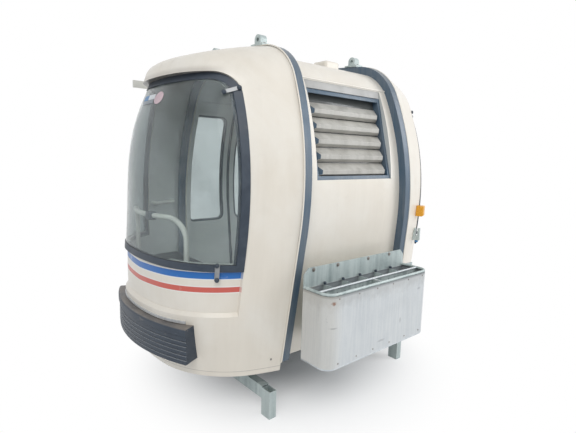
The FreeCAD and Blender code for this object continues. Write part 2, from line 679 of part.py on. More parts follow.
rim = size("doorRubberRim")
leaf_pane_opening = rounded_window((glass_x[0] + rim, glass_x[1] - rim), (glass_z[0] + rim, glass_z[1] - rim),
                                   (0, FAR), glass_round - rim, glass_round - rim)
door_seal = leaf_hoop.common(leaf_window).cut(leaf_pane_opening)
add_pair("door_window_seal", door_seal)
pane_out = leaf_out - size("doorPaneSink")
pane_hoop = hoop_solid(pane_out, leaf_x, size("archFoot")).cut(
    hoop_solid(pane_out - size("paneThickness"), leaf_x, size("archFoot")))
add_pair("door_window", pane_hoop.common(leaf_pane_opening))

edge_x, edge_inset = (-size("doorMeet"), -size("edgeGap")), size("edgeInset")
edge_hoop = hoop_solid(leaf_out - edge_inset, edge_x, size("archFoot")).cut(
    hoop_solid(leaf_in + edge_inset, edge_x, size("archFoot")))
add_pair("door_edge_rubber", edge_hoop.common(block(edge_x, (0, FAR), leaf_z)))

# ---------------------------------------------------------------- door rails and door hangers
def door_rail(height, low, rise, reach, root):
    """Flat bar along the doors on two brackets that end on the arches at a height."""
    face = half_width(height) + reach
    bar_y = (face, face + size("railSheet"))
    track_half = size("doorHalf") + size("doorTravel") + size("trackSpare")
    bar = block((-track_half, track_half), bar_y, (low, low + rise))
    bracket_z = (low + size("bracketRise"), low + size("bracketRise") + size("bracketSheet"))
    for sign in (-1, 1):
        middle = sign * arch_station(height)
        bracket = block((middle - size("bracketHalf"), middle + size("bracketHalf")),
                        (half_width(height) - root, bar_y[0]), bracket_z)
        bar = bar.fuse(bracket.cut(hoop_solid(0, (-FAR, FAR), size("archFoot"))))
    return bar.removeSplitter(), bar_y, (low, low + rise)


top_rail, top_rail_y, top_rail_z = door_rail(
    door_head, door_head + size("trackLift"), size("topTrackRise"),
    size("topTrackReach"), size("topBracketRoot"))
add_shape("door_top_rail", top_rail)
bottom_rail, bottom_rail_y, _ = door_rail(
    size("doorSill"), size("doorSill") - size("bottomTrackDrop"), size("bottomTrackRise"),
    size("bottomTrackReach"), size("bottomBracketRoot"))
add_shape("door_bottom_rail", bottom_rail)

run, thick, strap_half = size("shoeRun"), size("shoeSheet"), size("strapHalf")
shoe_in = (top_rail_y[0] - run, top_rail_y[1] + run)
shoe_out = (shoe_in[0] - thick, shoe_in[1] + thick)
shoe_top = top_rail_z[1] + run + thick
hangers = None
for x in (size("shoeInset") - size("doorHalf"), -size("shoeInset") - strap_half):
    shoe = block((x - size("shoeHalf"), x + size("shoeHalf")), shoe_out,
                 (top_rail_z[1] - size("shoeWrap"), shoe_top))
    shoe = shoe.cut(block((-FAR, FAR), shoe_in, (-FAR, top_rail_z[1] + run)))
    strap = block((x - strap_half, x + strap_half), (shoe_in[1], shoe_out[1]),
                  (leaf_z[1] - size("strapLap"), shoe_top))
    guide = block((x - strap_half, x + strap_half),
                  (bottom_rail_y[1] + run, bottom_rail_y[1] + run + thick),
                  (size("doorSill") - size("guideDrop"), size("doorSill") + size("guideLap")))
    one = shoe.fuse(strap).fuse(guide).removeSplitter()
    hangers = one if hangers is None else hangers.fuse(one)
hangers = hangers.cut(hoop_solid(leaf_out, (-FAR, FAR), size("archFoot")).common(
    block((-FAR, FAR), (0, FAR), leaf_z)))
add_pair("door_hangers", hangers)

# ---------------------------------------------------------------- louvre window
frame_body = new_body("louvre_frame", louvre_place.Base, louvre_place.Rotation)
frame_sketch = new_sketch(frame_body, "XZ_Plane")
rectangle(frame_sketch, "seatClearance - louvreHalf", "louvreHalf - seatClearance",
          "seatClearance", f"{louvre_slant} - seatClearance")
add_feature(frame_body, "Pad", frame_sketch, "louvreDepth", True)
frame_hole = new_sketch(frame_body, "XZ_Plane")
rectangle(frame_hole, "louvreBorder - louvreHalf", "louvreHalf - louvreBorder",
          "louvreBorder", f"{louvre_slant} - louvreBorder")
add_feature(frame_body, "Pocket", frame_hole, "2 * louvreDepth", True)
pieces.append(frame_body)

slat_body = new_body("louvre_slats", louvre_place.Base, louvre_place.Rotation)
pitch = (louvre_slant - 2 * size("louvreBorder")) / size("slatCount")
# Section of a slat. Columns: distance out of the frame's middle, height as a share of the pitch.
SLAT_SECTION = [
    (14, 0.94),
    (-14, 0.62),
    (-30, 0.50),
    (-34, 0.34),
    (-12, 0.10),
]
slat_sketch = new_sketch(slat_body, "YZ_Plane")
front = [Vector(out, size("louvreBorder") + share * pitch, 0) for out, share in SLAT_SECTION]
back = [point + Vector(size("slatSheet"), -size("slatSheet") * 0.4, 0) for point in front]
outline = front + back[::-1]
for number, point in enumerate(outline):
    slat_sketch.addGeometry(Part.LineSegment(point, outline[(number + 1) % len(outline)]))
    slat_sketch.addConstraint(Sketcher.Constraint("Block", number))
slat = add_feature(slat_body, "Pad", slat_sketch, "2 * (louvreHalf - louvreBorder)", True)
repeat(slat_body, slat, slat_sketch, "V_Axis", f"{pitch} * (slatCount - 1)", "slatCount")
pieces.append(slat_body)

# ---------------------------------------------------------------- ski box
ski_origin = Vector(-size("skiBoxShift"), -size("skiBoxBack"), 0)
ski_body = new_body("ski_box", ski_origin)
ski_sketch = new_sketch(ski_body, "XY_Plane", "skiBoxSill")
rectangle(ski_sketch, "-skiBoxHalf", "skiBoxHalf", "-skiBoxDepth", "-seatClearance")
add_feature(ski_body, "Pad", ski_sketch, "skiBoxRim - skiBoxSill")
ski_hollow = new_sketch(ski_body, "XY_Plane", "skiBoxRim")
rectangle(ski_hollow, "skiBoxSheet - skiBoxHalf", "skiBoxHalf - skiBoxSheet",
          "skiBoxSheet - skiBoxDepth", "-skiBoxSheet")
ski_pocket = add_feature(ski_body, "Pocket", ski_hollow, "skiBoxRim - skiBoxSill - skiBoxSheet")


def front_corner(edge, inset):
    """True for the upright edges at the front corners of the ski box, inset from its outside."""
    middle = edge.CenterOfMass
    return (upright(edge) and abs(abs(middle.x) - size("skiBoxHalf") + inset) < 0.1
            and abs(middle.y + size("skiBoxDepth") - inset) < 0.1)


ski_inside = round_edges(ski_body, ski_pocket, "skiBoxCorner - skiBoxSheet",
                         lambda edge: front_corner(edge, size("skiBoxSheet")))
round_edges(ski_body, ski_inside, "skiBoxCorner", lambda edge: front_corner(edge, 0))
pieces.append(ski_body)

divider_body = new_body("ski_box_dividers", ski_origin)
divider_base = "skiBoxSill + skiBoxSheet"
divider_rise = "skiBoxRim - skiBoxSill - skiBoxSheet"
wall_front = "skiBoxSheet + skiTrough - skiBoxDepth"
slot_pitch = "2 * (skiBoxHalf - skiBoxSheet) / skiSlots"
wall_sketch = new_sketch(divider_body, "XY_Plane", divider_base)
rectangle(wall_sketch, "skiBoxSheet - skiBoxHalf", "skiBoxHalf - skiBoxSheet",
          wall_front, wall_front + " + skiDivider")
add_feature(divider_body, "Pad", wall_sketch, divider_rise)
first_divider = new_sketch(divider_body, "XY_Plane", divider_base)
first_x = "skiBoxSheet - skiBoxHalf + " + slot_pitch
rectangle(first_divider, first_x + " - skiDivider / 2", first_x + " + skiDivider / 2",
          wall_front + " + skiDivider / 2", "-skiBoxSheet")
divider_pad = add_feature(divider_body, "Pad", first_divider, divider_rise)
repeat(divider_body, divider_pad, first_divider, "H_Axis", slot_pitch + " * (skiSlots - 2)", "skiSlots - 1")
trough_sketch = new_sketch(divider_body, "XY_Plane", divider_base)
rectangle(trough_sketch, "-skiDivider / 2", "skiDivider / 2",
          "skiBoxSheet - skiBoxDepth", wall_front + " + skiDivider / 2")
divider_body.Tip = add_feature(divider_body, "Pad", trough_sketch, divider_rise)
pieces.append(divider_body)

rim_body = new_body("ski_box_rim", ski_origin)
rod = size("skiRimRod") / 2
rim_path = new_sketch(rim_body, "XY_Plane", "skiBoxRim + skiRimRod / 2")
rim_half, rim_depth = size("skiBoxHalf") - rod, size("skiBoxDepth") - rod
rim_corner = size("skiBoxCorner") - rod
bend_x, bend_y = rim_half - rim_corner, rim_corner - rim_depth
rim_path.addGeometry(Part.LineSegment(Vector(-rim_half, 0, 0), Vector(-rim_half, bend_y, 0)))
rim_path.addGeometry(Part.ArcOfCircle(Part.Circle(Vector(-bend_x, bend_y, 0), Vector(0, 0, 1), rim_corner),
                                      math.pi, 1.5 * math.pi))
rim_path.addGeometry(Part.LineSegment(Vector(-bend_x, -rim_depth, 0), Vector(bend_x, -rim_depth, 0)))
rim_path.addGeometry(Part.ArcOfCircle(Part.Circle(Vector(bend_x, bend_y, 0), Vector(0, 0, 1), rim_corner),
                                      1.5 * math.pi, 2 * math.pi))
rim_path.addGeometry(Part.LineSegment(Vector(rim_half, bend_y, 0), Vector(rim_half, 0, 0)))
for number in range(5):
    rim_path.addConstraint(Sketcher.Constraint("Block", number))
rod_sketch = new_sketch(rim_body, "XZ_Plane")
rod_sketch.addGeometry(Part.Circle(Vector(-rim_half, size("skiBoxRim") + rod, 0), Vector(0, 0, 1), rod))
rod_sketch.addConstraint(Sketcher.Constraint("Block", 0))
rim_pipe = rim_body.newObject("PartDesign::AdditivePipe", "ski_box_rim_pipe")
rim_pipe.Profile = rod_sketch
rim_pipe.Spine = (rim_path, [])
rim_pipe.Transition = "Transformed"
doc.recompute()
pieces.append(rim_body)

plate_y = (-size("skiBoxBack"), -size("skiBoxBack") + size("skiPlate"))
plate_half = size("skiBoxHalf") - size("skiPlateInset")
plate_top = size("skiBoxRim") + size("skiPlateRise")
plate = block((ski_origin.x - plate_half, ski_origin.x + plate_half), plate_y,
              (size("skiBoxSill"), plate_top))
corner_edges = [e for e in plate.Edges if e.BoundBox.ZMin > plate_top - 1 and e.BoundBox.XLength < 0.01]
plate = plate.makeChamfer(size("skiPlateChamfer"), corner_edges)
rail_rise, rail_end, angle_sheet = size("skiRailRise"), size("skiRailHalf"), size("skiPlate")
for height in (size("skiBoxSill") + rail_rise, size("skiBoxRim") - rail_rise):
    reach = -half_width(height) + size("archWidth")
    upright_leg = block((-rail_end, rail_end), (plate_y[1], plate_y[1] + angle_sheet),
                        (height, height + rail_rise))
    level_leg = block((-rail_end, rail_end), (plate_y[1], reach), (height, height + angle_sheet))
    plate = plate.fuse(upright_leg).fuse(level_leg.cut(hoop_solid(0, whole_range, 0)))
add_shape("ski_box_back", plate.removeSplitter())

# ---------------------------------------------------------------- bumpers
wall_tool = doc.addObject("Part::Feature", "wall_tool")
wall_tool.Shape = wall_body
bumper_turn = math.degrees(math.asin(size("bumperHalf") / size("bumperRadius")))
bumper_body = new_body("bumper_blank", Vector(size("bumperRadius") - size("bumperNose"), 0, 0),
                       Rotation(Vector(0, 0, 1), -bumper_turn))
bumper_sketch = new_sketch(bumper_body, "XZ_Plane")
lip_low = size("bumperTop") - size("bumperLip")
rib_pitch = (lip_low - size("bumperSill")) / (size("bumperRibs") + 1)
rib_face = size("bumperRadius") - size("lipProud")
section = [(size("bumperRadius") - size("bumperDepth"), size("bumperSill")), (rib_face, size("bumperSill"))]
for number in range(1, int(size("bumperRibs")) + 1):
    middle = size("bumperSill") + number * rib_pitch
    low, high = middle - size("ribWidth") / 2, middle + size("ribWidth") / 2
    section += [(rib_face, low), (rib_face - size("ribDepth"), low),
                (rib_face - size("ribDepth"), high), (rib_face, high)]
section += [(rib_face, lip_low)]
lip_round = size("lipProud")
lines = [Vector(-radius, height, 0) for radius, height in section]
lip = [Vector(-size("bumperRadius"), lip_low + lip_round, 0),
       Vector(-size("bumperRadius"), size("bumperTop") - 2 * lip_round, 0),
       Vector(-size("bumperRadius") + 2 * lip_round, size("bumperTop"), 0),
       Vector(-size("bumperRadius") + size("bumperDepth"), size("bumperTop"), 0)]
for start, end in zip(lines, lines[1:]):
    bumper_sketch.addGeometry(Part.LineSegment(start, end))
bumper_sketch.addGeometry(Part.LineSegment(lines[-1], lip[0]))
bumper_sketch.addGeometry(Part.LineSegment(lip[0], lip[1]))
bumper_sketch.addGeometry(Part.ArcOfCircle(
    Part.Circle(Vector(lip[2].x, lip[1].y, 0), Vector(0, 0, 1), 2 * lip_round), math.pi / 2, math.pi))
bumper_sketch.addGeometry(Part.LineSegment(lip[2], lip[3]))
bumper_sketch.addGeometry(Part.LineSegment(lip[3], lines[0]))
for number in range(bumper_sketch.GeometryCount):
    bumper_sketch.addConstraint(Sketcher.Constraint("Block", number))
bumper_ring = bumper_body.newObject("PartDesign::Revolution", "bumper_ring")
bumper_ring.Profile = bumper_sketch
bumper_ring.ReferenceAxis = (bumper_sketch, ["V_Axis"])
bumper_ring.Angle = 2 * bumper_turn
doc.recompute()
front_bumper = cut_away("front_bumper", bumper_body, wall_tool)
doc.recompute()
add_mirror("rear_bumper", front_bumper)

# ---------------------------------------------------------------- benches and seat pads
bench_space = walls(-size("shellWall") - size("seatClearance"), 1)
bench_blank = bench_space.common(block((-FAR, -size("benchFront")), (-FAR, FAR),
                                       (floor_range[1], size("benchTop"))))
bench_hollow = block((-FAR, -size("benchFront") - size("benchSheet")), (-FAR, FAR),
                     (-FAR, size("benchTop") - size("benchSheet")))
add_pair("bench", bench_blank.cut(bench_hollow))
rail_radius, bow, rail_half = size("railTube") / 2, size("railBow"), size("railHalf")
curve = (rail_half ** 2 + bow ** 2) / (2 * bow)
lead = Vector(-rail_half / curve, 1 - bow / curve, 0)  # direction of the top where it meets a bend
rail_end = Vector(-size("railReach") + bow, size("railShift") - rail_half, size("railHeight"))
leg_foot = rail_end - lead * size("railBend")
leg_foot.z = size("benchTop")
pad_back = leg_foot.x + rail_radius + size("padGap")
pad = bench_space.common(block((pad_back, -size("benchFront") + size("padOverhang")),
                               (-size("padHalf"), size("padHalf")),
                               (size("benchTop") + size("seatClearance"),
                                size("benchTop") + size("padThickness"))))
add_pair("seat_pad", pad)

# ---------------------------------------------------------------- guard rails
def guard_rail():
    """Tube from the bench up, bowed across behind the passengers and down again."""
    bend, top = size("railBend"), size("railHeight")
    share = 1 - math.sqrt(0.5)
    leg_top = Vector(leg_foot.x, leg_foot.y, top - bend)
    bend_mid = leg_top + lead * (bend * share) + Vector(0, 0, bend * (1 - share))
    near = [leg_foot, leg_top, bend_mid, rail_end]
    far = [Vector(point.x, 2 * size("railShift") - point.y, point.z) for point in near]
    path = Part.Wire([Part.makeLine(near[0], near[1]), arc(*near[1:4]),
                      arc(near[3], Vector(-size("railReach"), size("railShift"), top), far[3]),
                      arc(*far[3:0:-1]), Part.makeLine(far[1], far[0])])
    start = Part.Wire(Part.makeCircle(rail_radius, near[0], Vector(0, 0, 1)))
    return path.makePipeShell([start], True, False)


add_pair("guard_rail", guard_rail())

# ---------------------------------------------------------------- foot frames
foot_body = new_body("front_foot_frame", Vector(-size("footStation"), 0, 0))
beam_sketch = new_sketch(foot_body, "XZ_Plane")
rectangle(beam_sketch, "-tubeSide / 2", "tubeSide / 2", "beamSill", "beamSill + tubeDepth")
rectangle(beam_sketch, "tubeWall - tubeSide / 2", "tubeSide / 2 - tubeWall",
          "beamSill + tubeWall", "beamSill + tubeDepth - tubeWall")
add_feature(foot_body, "Pad", beam_sketch, "2 * footSpread - tubeDepth", True)
legs = [("-footSpread - tubeDepth / 2", "tubeDepth / 2 - footSpread"),
        ("footSpread - tubeDepth / 2", "footSpread + tubeDepth / 2")]
leg_sketch = new_sketch(foot_body, "XY_Plane")
for low, high in legs:
    rectangle(leg_sketch, "-tubeSide / 2", "tubeSide / 2", low, high)
add_feature(foot_body, "Pad", leg_sketch, "footHeight")
bore_sketch = new_sketch(foot_body, "XY_Plane", "footHeight")
for low, high in legs:
    rectangle(bore_sketch, "tubeWall - tubeSide / 2", "tubeSide / 2 - tubeWall",
              low + " + tubeWall", high + " - tubeWall")
add_feature(foot_body, "Pocket", bore_sketch, "footHeight - tubeWall")
post_sketch = new_sketch(foot_body, "XY_Plane", "beamSill + tubeDepth")
for middle in ("-postSpread", "postSpread"):
    rectangle(post_sketch, "-tubeSide / 2", "tubeSide / 2", middle + " - postHalf", middle + " + postHalf")
add_feature(foot_body, "Pad", post_sketch, "floorUnderside - beamSill - tubeDepth")
pieces.append(foot_body)
add_mirror("rear_foot_frame", foot_body)

# ---------------------------------------------------------------- hanger brackets
crown, station = size("bodyTop"), -arch_station(size("bodyTop"))
lug_half, lug_round = size("hangerLug") / 2, size("hangerRound")
base_half = size("hangerBaseWidth") / 2
saddle = hoop_solid(size("seatClearance"), whole_range, size("archFoot"))
brackets = None
for sign in (-1, 1):
    middle = sign * size("hangerSpread")
    base_z = crown - size("crownRadius") + math.sqrt(size("crownRadius") ** 2 - size("hangerSpread") ** 2)
    bore_z = base_z + size("hangerRise")
    base = block((station - base_half, station + base_half),
                 (middle - size("hangerBaseHalf"), middle + size("hangerBaseHalf")),
                 (base_z - size("hangerRound"), base_z + size("hangerBaseRise")))
    lug = block((station - lug_half, station + lug_half),
                (middle - lug_round, middle + lug_round), (base_z, bore_z))
    start = Vector(station - lug_half, middle, bore_z)
    lug = lug.fuse(Part.makeCylinder(lug_round, 2 * lug_half, start, Vector(1, 0, 0)))
    hole = Part.makeCylinder(size("hangerBore") / 2, 2 * lug_half, start, Vector(1, 0, 0))
    one = base.fuse(lug).cut(saddle).cut(hole).removeSplitter()
    brackets = one if brackets is None else brackets.fuse(one)
add_pair("hanger_brackets", brackets)

# ---------------------------------------------------------------- roof vent
panel_tool = doc.addObject("Part::Feature", "panel_tool")
panel_tool.Shape = hoop_solid(panel_out + size("seatClearance"), whole_range, size("archFoot"))
vent_body = new_body("vent_blank")
vent_sketch = new_sketch(vent_body, "XY_Plane", "bodyTop - archProud - panelWall - ventDrop")
rectangle(vent_sketch, "ventStation", "ventStation + ventLength", "-ventOffset - ventWidth", "-ventOffset")
vent_pad = add_feature(vent_body, "Pad", vent_sketch, "archProud + panelWall")
vent_top = size("bodyTop") - size("ventDrop")
round_edges(vent_body, vent_pad, "ventDrop - archProud / 10",
            lambda edge: upright(edge) or edge.BoundBox.ZMin > vent_top - 1)
cut_away("roof_vent", vent_body, panel_tool)

# ---------------------------------------------------------------- marker and latch on the rear shell
fitting_station = size("markerStation")
fitting_turn = Rotation(Vector(0, 0, 1), math.degrees(math.asin(fitting_station / size("planRadius"))) - 90)


def fitting_seat(height):
    """Where the X axis of a fitting leaves the side of the rear shell, sunk into the wall."""
    seat = Vector(fitting_station, -body_half(fitting_station, height, -size("shellInset")), height)
    return seat - fitting_turn.multVec(Vector(size("fittingSink"), 0, 0))


marker_body = new_body("marker_blank", fitting_seat(size("markerHeight")), fitting_turn)
marker_sketch = new_sketch(marker_body, "YZ_Plane")
rectangle(marker_sketch, "-markerWidth / 2", "markerWidth / 2", "-markerDepth / 2", "markerDepth / 2")
marker_pad = add_feature(marker_body, "Pad", marker_sketch, "fittingSink + markerProud")
marker_face = size("fittingSink") + size("markerProud")
round_edges(marker_body, marker_pad, "markerWidth / 5",
            lambda edge: edge.BoundBox.XMin > marker_face - 1)
cut_away("amber_marker", marker_body, wall_tool)
latch_body = new_body("latch_blank", fitting_seat(size("latchHeight")), fitting_turn)
latch_sketch = new_sketch(latch_body, "YZ_Plane")
rectangle(latch_sketch, "-latchProud / 3", "latchProud / 3", "-latchProud", "latchProud")
add_feature(latch_body, "Pad", latch_sketch, "fittingSink + latchProud")
latch_slot = new_sketch(latch_body, "XZ_Plane")
rectangle(latch_slot, "fittingSink + latchProud / 3", "fittingSink + latchProud * 2 / 3",
          "-latchProud / 4", "latchProud + latchProud / 4")
add_feature(latch_body, "Pocket", latch_slot, "2 * latchProud", True)
cut_away("rear_latch", latch_body, wall_tool)

# ---------------------------------------------------------------- window clips
# Straps over the window rubber. Columns: distance along the cabin, height, turn from level.
CLIP_PLACES = [
    (-800, 1822, 20),
    (-905, 880, 90),
]
CLIP_HALF, CLIP_REACH, CLIP_WIDTH = 45, 60, 18
clip_in = size("sealProud") + size("seatClearance")
clip_shell = walls(clip_in + size("clipSheet"), 1, 2, 8).cut(walls(clip_in, 1, 2, 8)).cut(end_shell)
clips = None
for sign in (-1, 1):
    for x, height, turn in CLIP_PLACES:
        strip = block((-CLIP_HALF, CLIP_HALF), (-CLIP_REACH, CLIP_REACH), (-CLIP_WIDTH / 2, CLIP_WIDTH / 2))
        strip = placed(strip, Placement(Vector(x, sign * body_half(x, height, 0), height),
                                        Rotation(Vector(0, 1, 0), -turn)))
        one = clip_shell.common(strip)
        clips = one if clips is None else clips.fuse(one)
add_pair("window_clips", clips)

# ---------------------------------------------------------------- check and write
doc.recompute()
for item in doc.Objects:
    if "Invalid" in item.State or "Error" in item.State:
        raise RuntimeError(f"{item.Label} did not recompute: {item.State}")
sides = [piece.Shape.optimalBoundingBox(True, False) for piece in pieces]
# the origin goes under the middle of the whole, ski box and door gear included
to_middle = Vector(0, -(min(box.YMin for box in sides) + max(box.YMax for box in sides)) / 2, 0)
for piece in pieces:
    if piece.TypeId != "Part::Mirroring":  # a mirror image moves with the piece that it copies
        piece.Placement = Placement(to_middle, Rotation()).multiply(piece.Placement)
doc.recompute()
os.makedirs("parts", exist_ok=True)
for piece in pieces:
    shape = piece.Shape
    if shape.isNull() or not shape.isValid() or not shape.Solids:
        raise RuntimeError(f"{piece.Label} has no valid solid")
    shape.exportStep(os.path.join("parts", piece.Label + ".step"))
    print(piece.Label, len(shape.Solids), round(shape.Volume / 1000), "cm3")
print(len(pieces), "sub-parts written, middle of the cabin at y =", round(to_middle.y, 3))
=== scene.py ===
import bpy
import json
import math
from mathutils import Matrix, Vector


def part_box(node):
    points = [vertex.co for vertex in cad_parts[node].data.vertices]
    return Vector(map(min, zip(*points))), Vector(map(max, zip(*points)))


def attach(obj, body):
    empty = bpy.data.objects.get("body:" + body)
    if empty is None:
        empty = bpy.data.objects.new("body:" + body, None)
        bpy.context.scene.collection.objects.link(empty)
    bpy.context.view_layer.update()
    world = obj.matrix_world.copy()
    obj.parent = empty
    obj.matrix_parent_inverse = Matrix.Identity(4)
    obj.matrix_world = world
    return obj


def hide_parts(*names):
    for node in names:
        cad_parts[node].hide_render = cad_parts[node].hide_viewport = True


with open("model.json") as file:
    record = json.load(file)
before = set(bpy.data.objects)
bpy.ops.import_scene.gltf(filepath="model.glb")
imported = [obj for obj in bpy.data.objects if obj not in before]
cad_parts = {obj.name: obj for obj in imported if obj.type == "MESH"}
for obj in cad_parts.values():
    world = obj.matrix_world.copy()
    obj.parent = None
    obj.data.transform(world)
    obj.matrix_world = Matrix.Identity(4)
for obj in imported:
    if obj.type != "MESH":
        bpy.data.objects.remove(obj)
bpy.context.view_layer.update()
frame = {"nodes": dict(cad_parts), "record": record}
nodes = frame["nodes"]
print("stage: frame loaded")

# the cabin's own middle lies beside the frame's middle because of the ski box
archLow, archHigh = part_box("front_arch")
middleY = (archLow.y + archHigh.y) / 2
topZ = archHigh.z
# each end's name, and its side along X
ends = {"front": -1, "rear": 1}

nodeGrid = {"left": -2600, "rows": 6, "across": 220, "down": 280}


# a socket takes a number, a colour or another node's output
def feed(tree, socket, value):
    if isinstance(value, bpy.types.NodeSocket):
        tree.links.new(value, socket)
    elif socket.type == "RGBA":
        socket.default_value = (*value, 1)
    else:
        socket.default_value = value


def feedNode(tree, node, **values):
    for name, value in values.items():
        feed(tree, node.inputs[name.replace("_", " ")], value)


def feedInOrder(tree, node, values):
    for socket, value in zip(node.inputs, values):
        feed(tree, socket, value)
    return node.outputs


# nodes stand in columns, in the order that they are made
def addNode(tree, kind, settings=None, **values):
    node = tree.nodes.new(kind)
    column, row = divmod(len(tree.nodes), nodeGrid["rows"])
    node.location = (nodeGrid["left"] + column * nodeGrid["across"], -row * nodeGrid["down"])
    for name, value in (settings or {}).items():
        setattr(node, name, value)
    feedNode(tree, node, **values)
    return node


def mathNode(tree, operation, *values, clamp=False):
    node = addNode(tree, "ShaderNodeMath", {"operation": operation, "use_clamp": clamp})
    return feedInOrder(tree, node, values)[0]


def vectorNode(tree, operation, *values):
    return feedInOrder(tree, addNode(tree, "ShaderNodeVectorMath", {"operation": operation}), values)


def mixNode(tree, factor, first, second, kind="RGBA"):
    node = addNode(tree, "ShaderNodeMix", {"data_type": kind})
    start, result = (6, 2) if kind == "RGBA" else (2, 0)
    for index, value in ((0, factor), (start, first), (start + 1, second)):
        feed(tree, node.inputs[index], value)
    return node.outputs[result]


def rangeNode(tree, value, fromLow, fromHigh, toLow=0.0, toHigh=1.0, smooth=False):
    kind = "SMOOTHSTEP" if smooth else "LINEAR"
    node = addNode(tree, "ShaderNodeMapRange", {"interpolation_type": kind, "clamp": True}, Value=value,
                   From_Min=fromLow, From_Max=fromHigh, To_Min=toLow, To_Max=toHigh)
    return node.outputs["Result"]


def noiseNode(tree, vector, scale, detail, roughness=0.5, distortion=0.0):
    return addNode(tree, "ShaderNodeTexNoise", None, Vector=vector, Scale=scale, Detail=detail,
                   Roughness=roughness, Distortion=distortion).outputs["Fac"]


def mapNode(tree, vector, kind="POINT", **values):
    node = addNode(tree, "ShaderNodeMapping", {"vector_type": kind}, Vector=vector, **values)
    return node.outputs["Vector"]


def splitNode(tree, vector):
    return addNode(tree, "ShaderNodeSeparateXYZ", None, Vector=vector).outputs


def mixShaders(tree, factor, first, second):
    return feedInOrder(tree, addNode(tree, "ShaderNodeMixShader"), (factor, first, second))[0]


def objectPlace(tree):
    return addNode(tree, "ShaderNodeTexCoord").outputs["Object"]


def faceNormal(tree):
    return addNode(tree, "ShaderNodeNewGeometry").outputs["Normal"]


def newGroup(name, inputs, outputs=("Mask",)):
    tree = bpy.data.node_groups.new(name, "ShaderNodeTree")
    for socket, default in inputs.items():
        made = tree.interface.new_socket(socket, in_out="INPUT", socket_type="NodeSocketFloat")
        made.default_value = default
    for socket in outputs:
        tree.interface.new_socket(socket, in_out="OUTPUT", socket_type="NodeSocketFloat")
    entry = addNode(tree, "NodeGroupInput").outputs
    leave = addNode(tree, "NodeGroupOutput")
    leave.location = (0, 0)
    return tree, entry, leave.inputs, objectPlace(tree)


def useGroup(tree, name, **values):
    return addNode(tree, "ShaderNodeGroup", {"node_tree": bpy.data.node_groups[name]}, **values).outputs


# rain marks that run down a wall
def makeStreaks():
    tree, entry, leave, place = newGroup("rainStreaks", {"Scale": 12.0, "Contrast": 0.5, "Amount": 1.0})
    thin = noiseNode(tree, mapNode(tree, place, Scale=(1, 1, 0.07)), entry["Scale"], 5.0, 0.6)
    wide = noiseNode(tree, place, 2.6, 3.0)
    both = mathNode(tree, "MULTIPLY", thin, wide)
    low = mathNode(tree, "MULTIPLY_ADD", entry["Contrast"], 0.1, 0.14)
    sharp = mathNode(tree, "MULTIPLY", mathNode(tree, "SUBTRACT", both, low), 5.0, clamp=True)
    feed(tree, leave["Mask"], mathNode(tree, "MULTIPLY", sharp, entry["Amount"], clamp=True))


# uneven patches of dirt or faded colour
def makePatches():
    tree, entry, leave, place = newGroup("patches", {"Scale": 4.0, "Low": 0.45, "High": 0.7, "Amount": 1.0})
    cloud = noiseNode(tree, place, entry["Scale"], 8.0, 0.62, 0.4)
    patch = rangeNode(tree, cloud, entry["Low"], entry["High"], smooth=True)
    feed(tree, leave["Mask"], mathNode(tree, "MULTIPLY", patch, entry["Amount"]))


# dust that lies on what faces up, or with Start above Full, painted shade on what faces down
def makeDust():
    tree, entry, leave, place = newGroup("facingDustAndShade", {"Start": 0.35, "Full": 0.95, "Amount": 1.0})
    upward = splitNode(tree, faceNormal(tree))["Z"]
    lying = rangeNode(tree, upward, entry["Start"], entry["Full"], smooth=True)
    uneven = rangeNode(tree, noiseNode(tree, place, 9.0, 6.0, 0.55), 0.3, 0.65, 0.45, 1.0)
    both = mathNode(tree, "MULTIPLY", lying, uneven)
    feed(tree, leave["Mask"], mathNode(tree, "MULTIPLY", both, entry["Amount"], clamp=True))


# short scratches and knocks
def makeScuffs():
    tree, entry, leave, place = newGroup("scuffs", {"Scale": 30.0, "Threshold": 0.66, "Amount": 1.0})
    turned = mapNode(tree, place, Rotation=(0.4, 0.9, 0.3), Scale=(1.0, 0.22, 1.0))
    over = mathNode(tree, "SUBTRACT", noiseNode(tree, turned, entry["Scale"], 6.0, 0.7), entry["Threshold"])
    sharp = mathNode(tree, "MULTIPLY", over, 22.0, clamp=True)
    feed(tree, leave["Mask"], mathNode(tree, "MULTIPLY", sharp, entry["Amount"]))


# crystals of hot-dip zinc
def makeSpangle():
    tree, entry, leave, place = newGroup("zincSpangle", {"Scale": 60.0}, ["Tone"])
    cells = addNode(tree, "ShaderNodeTexVoronoi", {"feature": "F1"}, Vector=place, Scale=entry["Scale"],
                    Randomness=1.0)
    tone = addNode(tree, "ShaderNodeSeparateColor", None, Color=cells.outputs["Color"])
    feed(tree, leave["Tone"], tone.outputs[0])


# fine unevenness of a moulded or painted face
def makeGrain():
    tree, entry, leave, place = newGroup("surfaceGrain", {"Fine": 220.0, "Wave": 3.0, "Mix": 0.5}, ["Height"])
    fine = noiseNode(tree, place, entry["Fine"], 2.0)
    wave = noiseNode(tree, place, entry["Wave"], 1.0)
    feed(tree, leave["Height"], mixNode(tree, entry["Mix"], fine, wave, "FLOAT"))


# faces that look back at a centre, which are the inside of a shell
def makeInside():
    tree, entry, leave, place = newGroup("insideFace", {"X": 0.0, "Y": 0.0, "Z": 1.2})
    centre = addNode(tree, "ShaderNodeCombineXYZ", None, X=entry["X"], Y=entry["Y"], Z=entry["Z"]).outputs[0]
    away = vectorNode(tree, "SUBTRACT", place, centre)["Vector"]
    turned = vectorNode(tree, "DOT_PRODUCT", vectorNode(tree, "NORMALIZE", away)["Vector"], faceNormal(tree))
    feed(tree, leave["Mask"], rangeNode(tree, turned["Value"], -0.05, -0.2))


